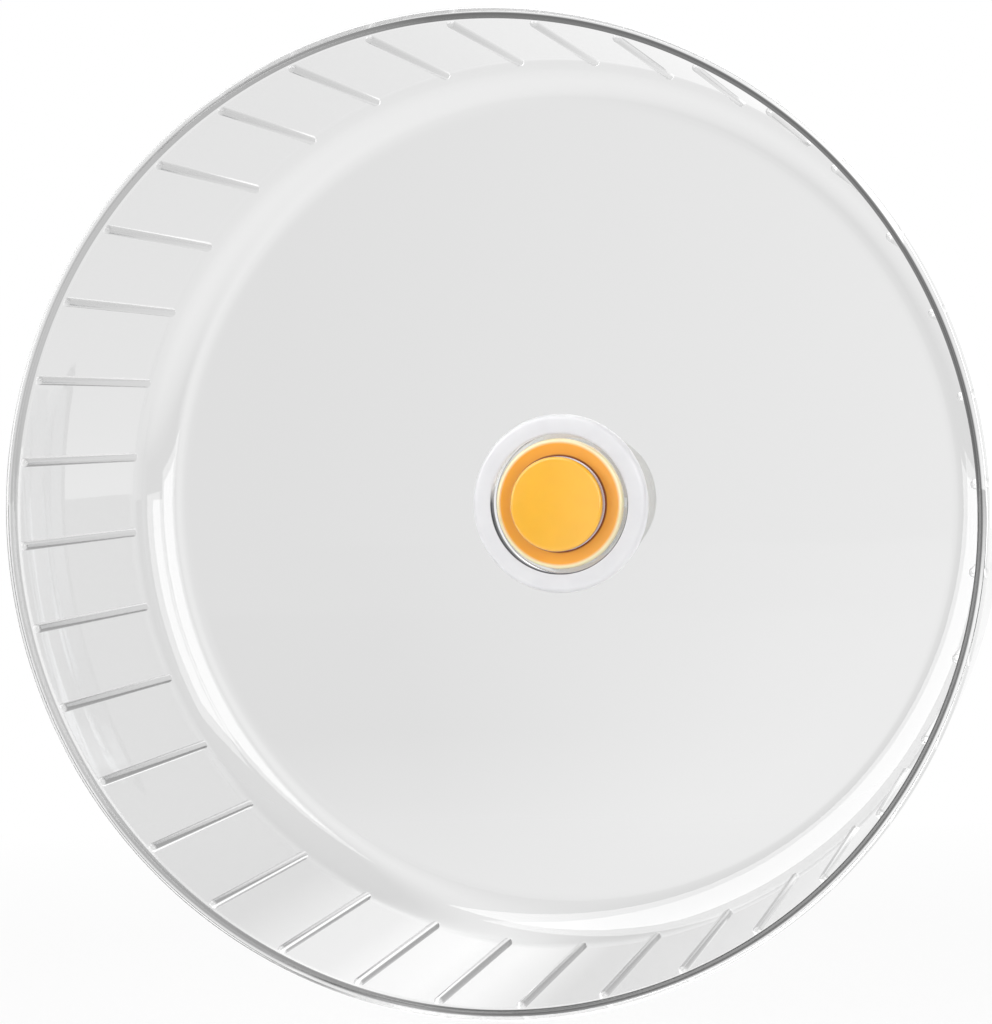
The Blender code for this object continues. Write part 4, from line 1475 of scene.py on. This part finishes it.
thread = make_thread()
trim = turned(
    "trim",
    [
        (0.0, trim_front, 0.0),
        (trim_radius, trim_front, 0.0),
        (trim_radius, trim_back - STUD_CHAMFER - MM, 0.0),
        (stud_tip, trim_back, 0.0),
        (0.0, trim_back, 0.0),
    ],
    STUD_STEPS,
    closed=False,
)
combine(thread, trim, "INTERSECT")
print(f"thread with {len(thread.data.polygons)} faces")

# %% The axle
JOURNAL_RADIUS = 3.7 * MM
SHOULDER_RADIUS = 5.5 * MM
SHOULDER_LENGTH = 1.5 * MM
CLIP_GROOVE_DEPTH = 0.7 * MM
AXLE_CHAMFER = 0.5 * MM
HEX_OVERLAP = 1.0 * MM
RUN_OUT = 0.1 * MM
AXLE_ROUNDING_STEPS = 3
axle_front = front_of("axle")
clip_front = front_of("axle_clip") - FIT_GAP
clip_back = back_of("axle_clip") + FIT_GAP
clip_radius = JOURNAL_RADIUS - CLIP_GROOVE_DEPTH
shoulder_front = back_of("rear_bearing_inner_ring") + FIT_GAP
hex_front = shoulder_front + SHOULDER_LENGTH
hex_back = pocket_end - FIT_GAP
shoulder_back = hex_front + HEX_OVERLAP
thread_front = mount_back + RUN_OUT

axle = turned(
    "axle_stud",
    [
        (0.0, axle_front, 0.0),
        (JOURNAL_RADIUS - AXLE_CHAMFER, axle_front, 0.0),
        (JOURNAL_RADIUS, axle_front + AXLE_CHAMFER, 0.0),
        (JOURNAL_RADIUS, clip_front, 0.0),
        (clip_radius, clip_front, 0.0),
        (clip_radius, clip_back, 0.0),
        (JOURNAL_RADIUS, clip_back, 0.0),
        (JOURNAL_RADIUS, shoulder_front, 0.0),
        (SHOULDER_RADIUS, shoulder_front, FINE_EDGE),
        (SHOULDER_RADIUS, shoulder_back, 0.0),
        (STUD_RADIUS, shoulder_back, 0.0),
        (STUD_RADIUS, thread_front, 0.0),
        (thread_root, thread_front, 0.0),
        (thread_root, stud_back - (thread_root - stud_tip), 0.0),
        (stud_tip, stud_back, 0.0),
        (0.0, stud_back, 0.0),
    ],
    STUD_STEPS,
    closed=False,
    rounding_steps=AXLE_ROUNDING_STEPS,
)
combine(axle, make_hexagon("hexagon", HEX_FLATS, hex_front, hex_back, FINE_EDGE), "UNION")
combine(axle, thread, "UNION")
finish_piece(axle, bright_steel, "cage_mount", "bright_steel", "axle")

# %% [markdown]
# ## The clamp washer
#
# A steel ring between the plate and the wing nut. Its back edges are well rounded, so that they
# don't cut into the nut when it is turned. The front edge is only broken.

# %% Clamp washer
WASHER_STEPS = 96
WASHER_ROUNDING = 0.35 * MM
WASHER_BROKEN_EDGE = 0.1 * MM
washer_front = front_of("clamp_washer")
washer_back = back_of("clamp_washer")

clamp_washer = turned(
    "clamp_washer_ring",
    [
        (stud_hole, washer_front, 0.0),
        (washer_radius, washer_front, WASHER_BROKEN_EDGE),
        (washer_radius, washer_back, WASHER_ROUNDING),
        (stud_hole, washer_back, WASHER_ROUNDING),
    ],
    WASHER_STEPS,
)
finish_piece(clamp_washer, bright_steel, "clamp", "bright_steel", "clamp_washer")

# %% [markdown]
# ## Inside the hub
#
# The bearings, rings and clips are closed in by the hub and keep the shapes of the engineering
# model. They still get honest finishes, for whoever takes the hub apart: ground rings, polished
# balls, pressed shields, blackened spring steel and a ball cage of natural nylon. Each finish is
# one cloudy tone, one haze and one fine grain.

# %% Finishes of the hidden pieces


def make_inner_finish(name, tones, haze, grain, metallic=1.0):
    """A finish from two tones, two levels of haze, and the width and depth of its grain."""
    material, tree, shader = new_material(name, {"Metallic": metallic})
    clouds, _ = cloudy_colour(tree, shader, size=2.5, detail=4.0, dark=tones[0], light=tones[1])
    uneven_polish(tree, shader, clouds, low=haze[0], high=haze[1])
    fine_grain(tree, shader, size=grain[0], detail=2.0, strength=0.3, depth=grain[1])
    return material


ground_steel = make_inner_finish(
    "bearing_steel_ground", ("#B9BCC0", "#CFD1D3"), (0.16, 0.28), (0.3, 0.01)
)
ball_steel = make_inner_finish(
    "bearing_steel_polished", ("#C8CACC", "#D8DADB"), (0.05, 0.10), (0.3, 0.002)
)
shield_steel = make_inner_finish(
    "steel_sheet_pressed", ("#C4C7CA", "#D6D8DA"), (0.24, 0.40), (0.5, 0.01)
)
black_steel = make_inner_finish(
    "spring_steel_blackened", ("#2B2B2E", "#3C3C3F"), (0.36, 0.55), (0.3, 0.02)
)
cage_nylon = make_inner_finish(
    "nylon_natural_moulded", ("#D8CBA8", "#E5DABB"), (0.42, 0.55), (0.4, 0.02), metallic=0.0
)

# %% Dress the nodes that stay
INNER_FINISHES = [
    ("spacer", bright_steel),
    ("washer", bright_steel),
    ("clip", black_steel),
    ("snap", black_steel),
    ("shield", shield_steel),
    ("cage", cage_nylon),
    ("ball", ball_steel),
    ("ring", ground_steel),
]


def dress_inner_nodes():
    """The first word of the list that a node's name holds decides its finish."""
    left = {name: node for name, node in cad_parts.items() if not node.hide_render}
    for name, node in left.items():
        finish = next(material for word, material in INNER_FINISHES if word in name)
        for slot in node.material_slots:
            slot.material = finish
    print("inner nodes dressed:", len(left))


dress_inner_nodes()
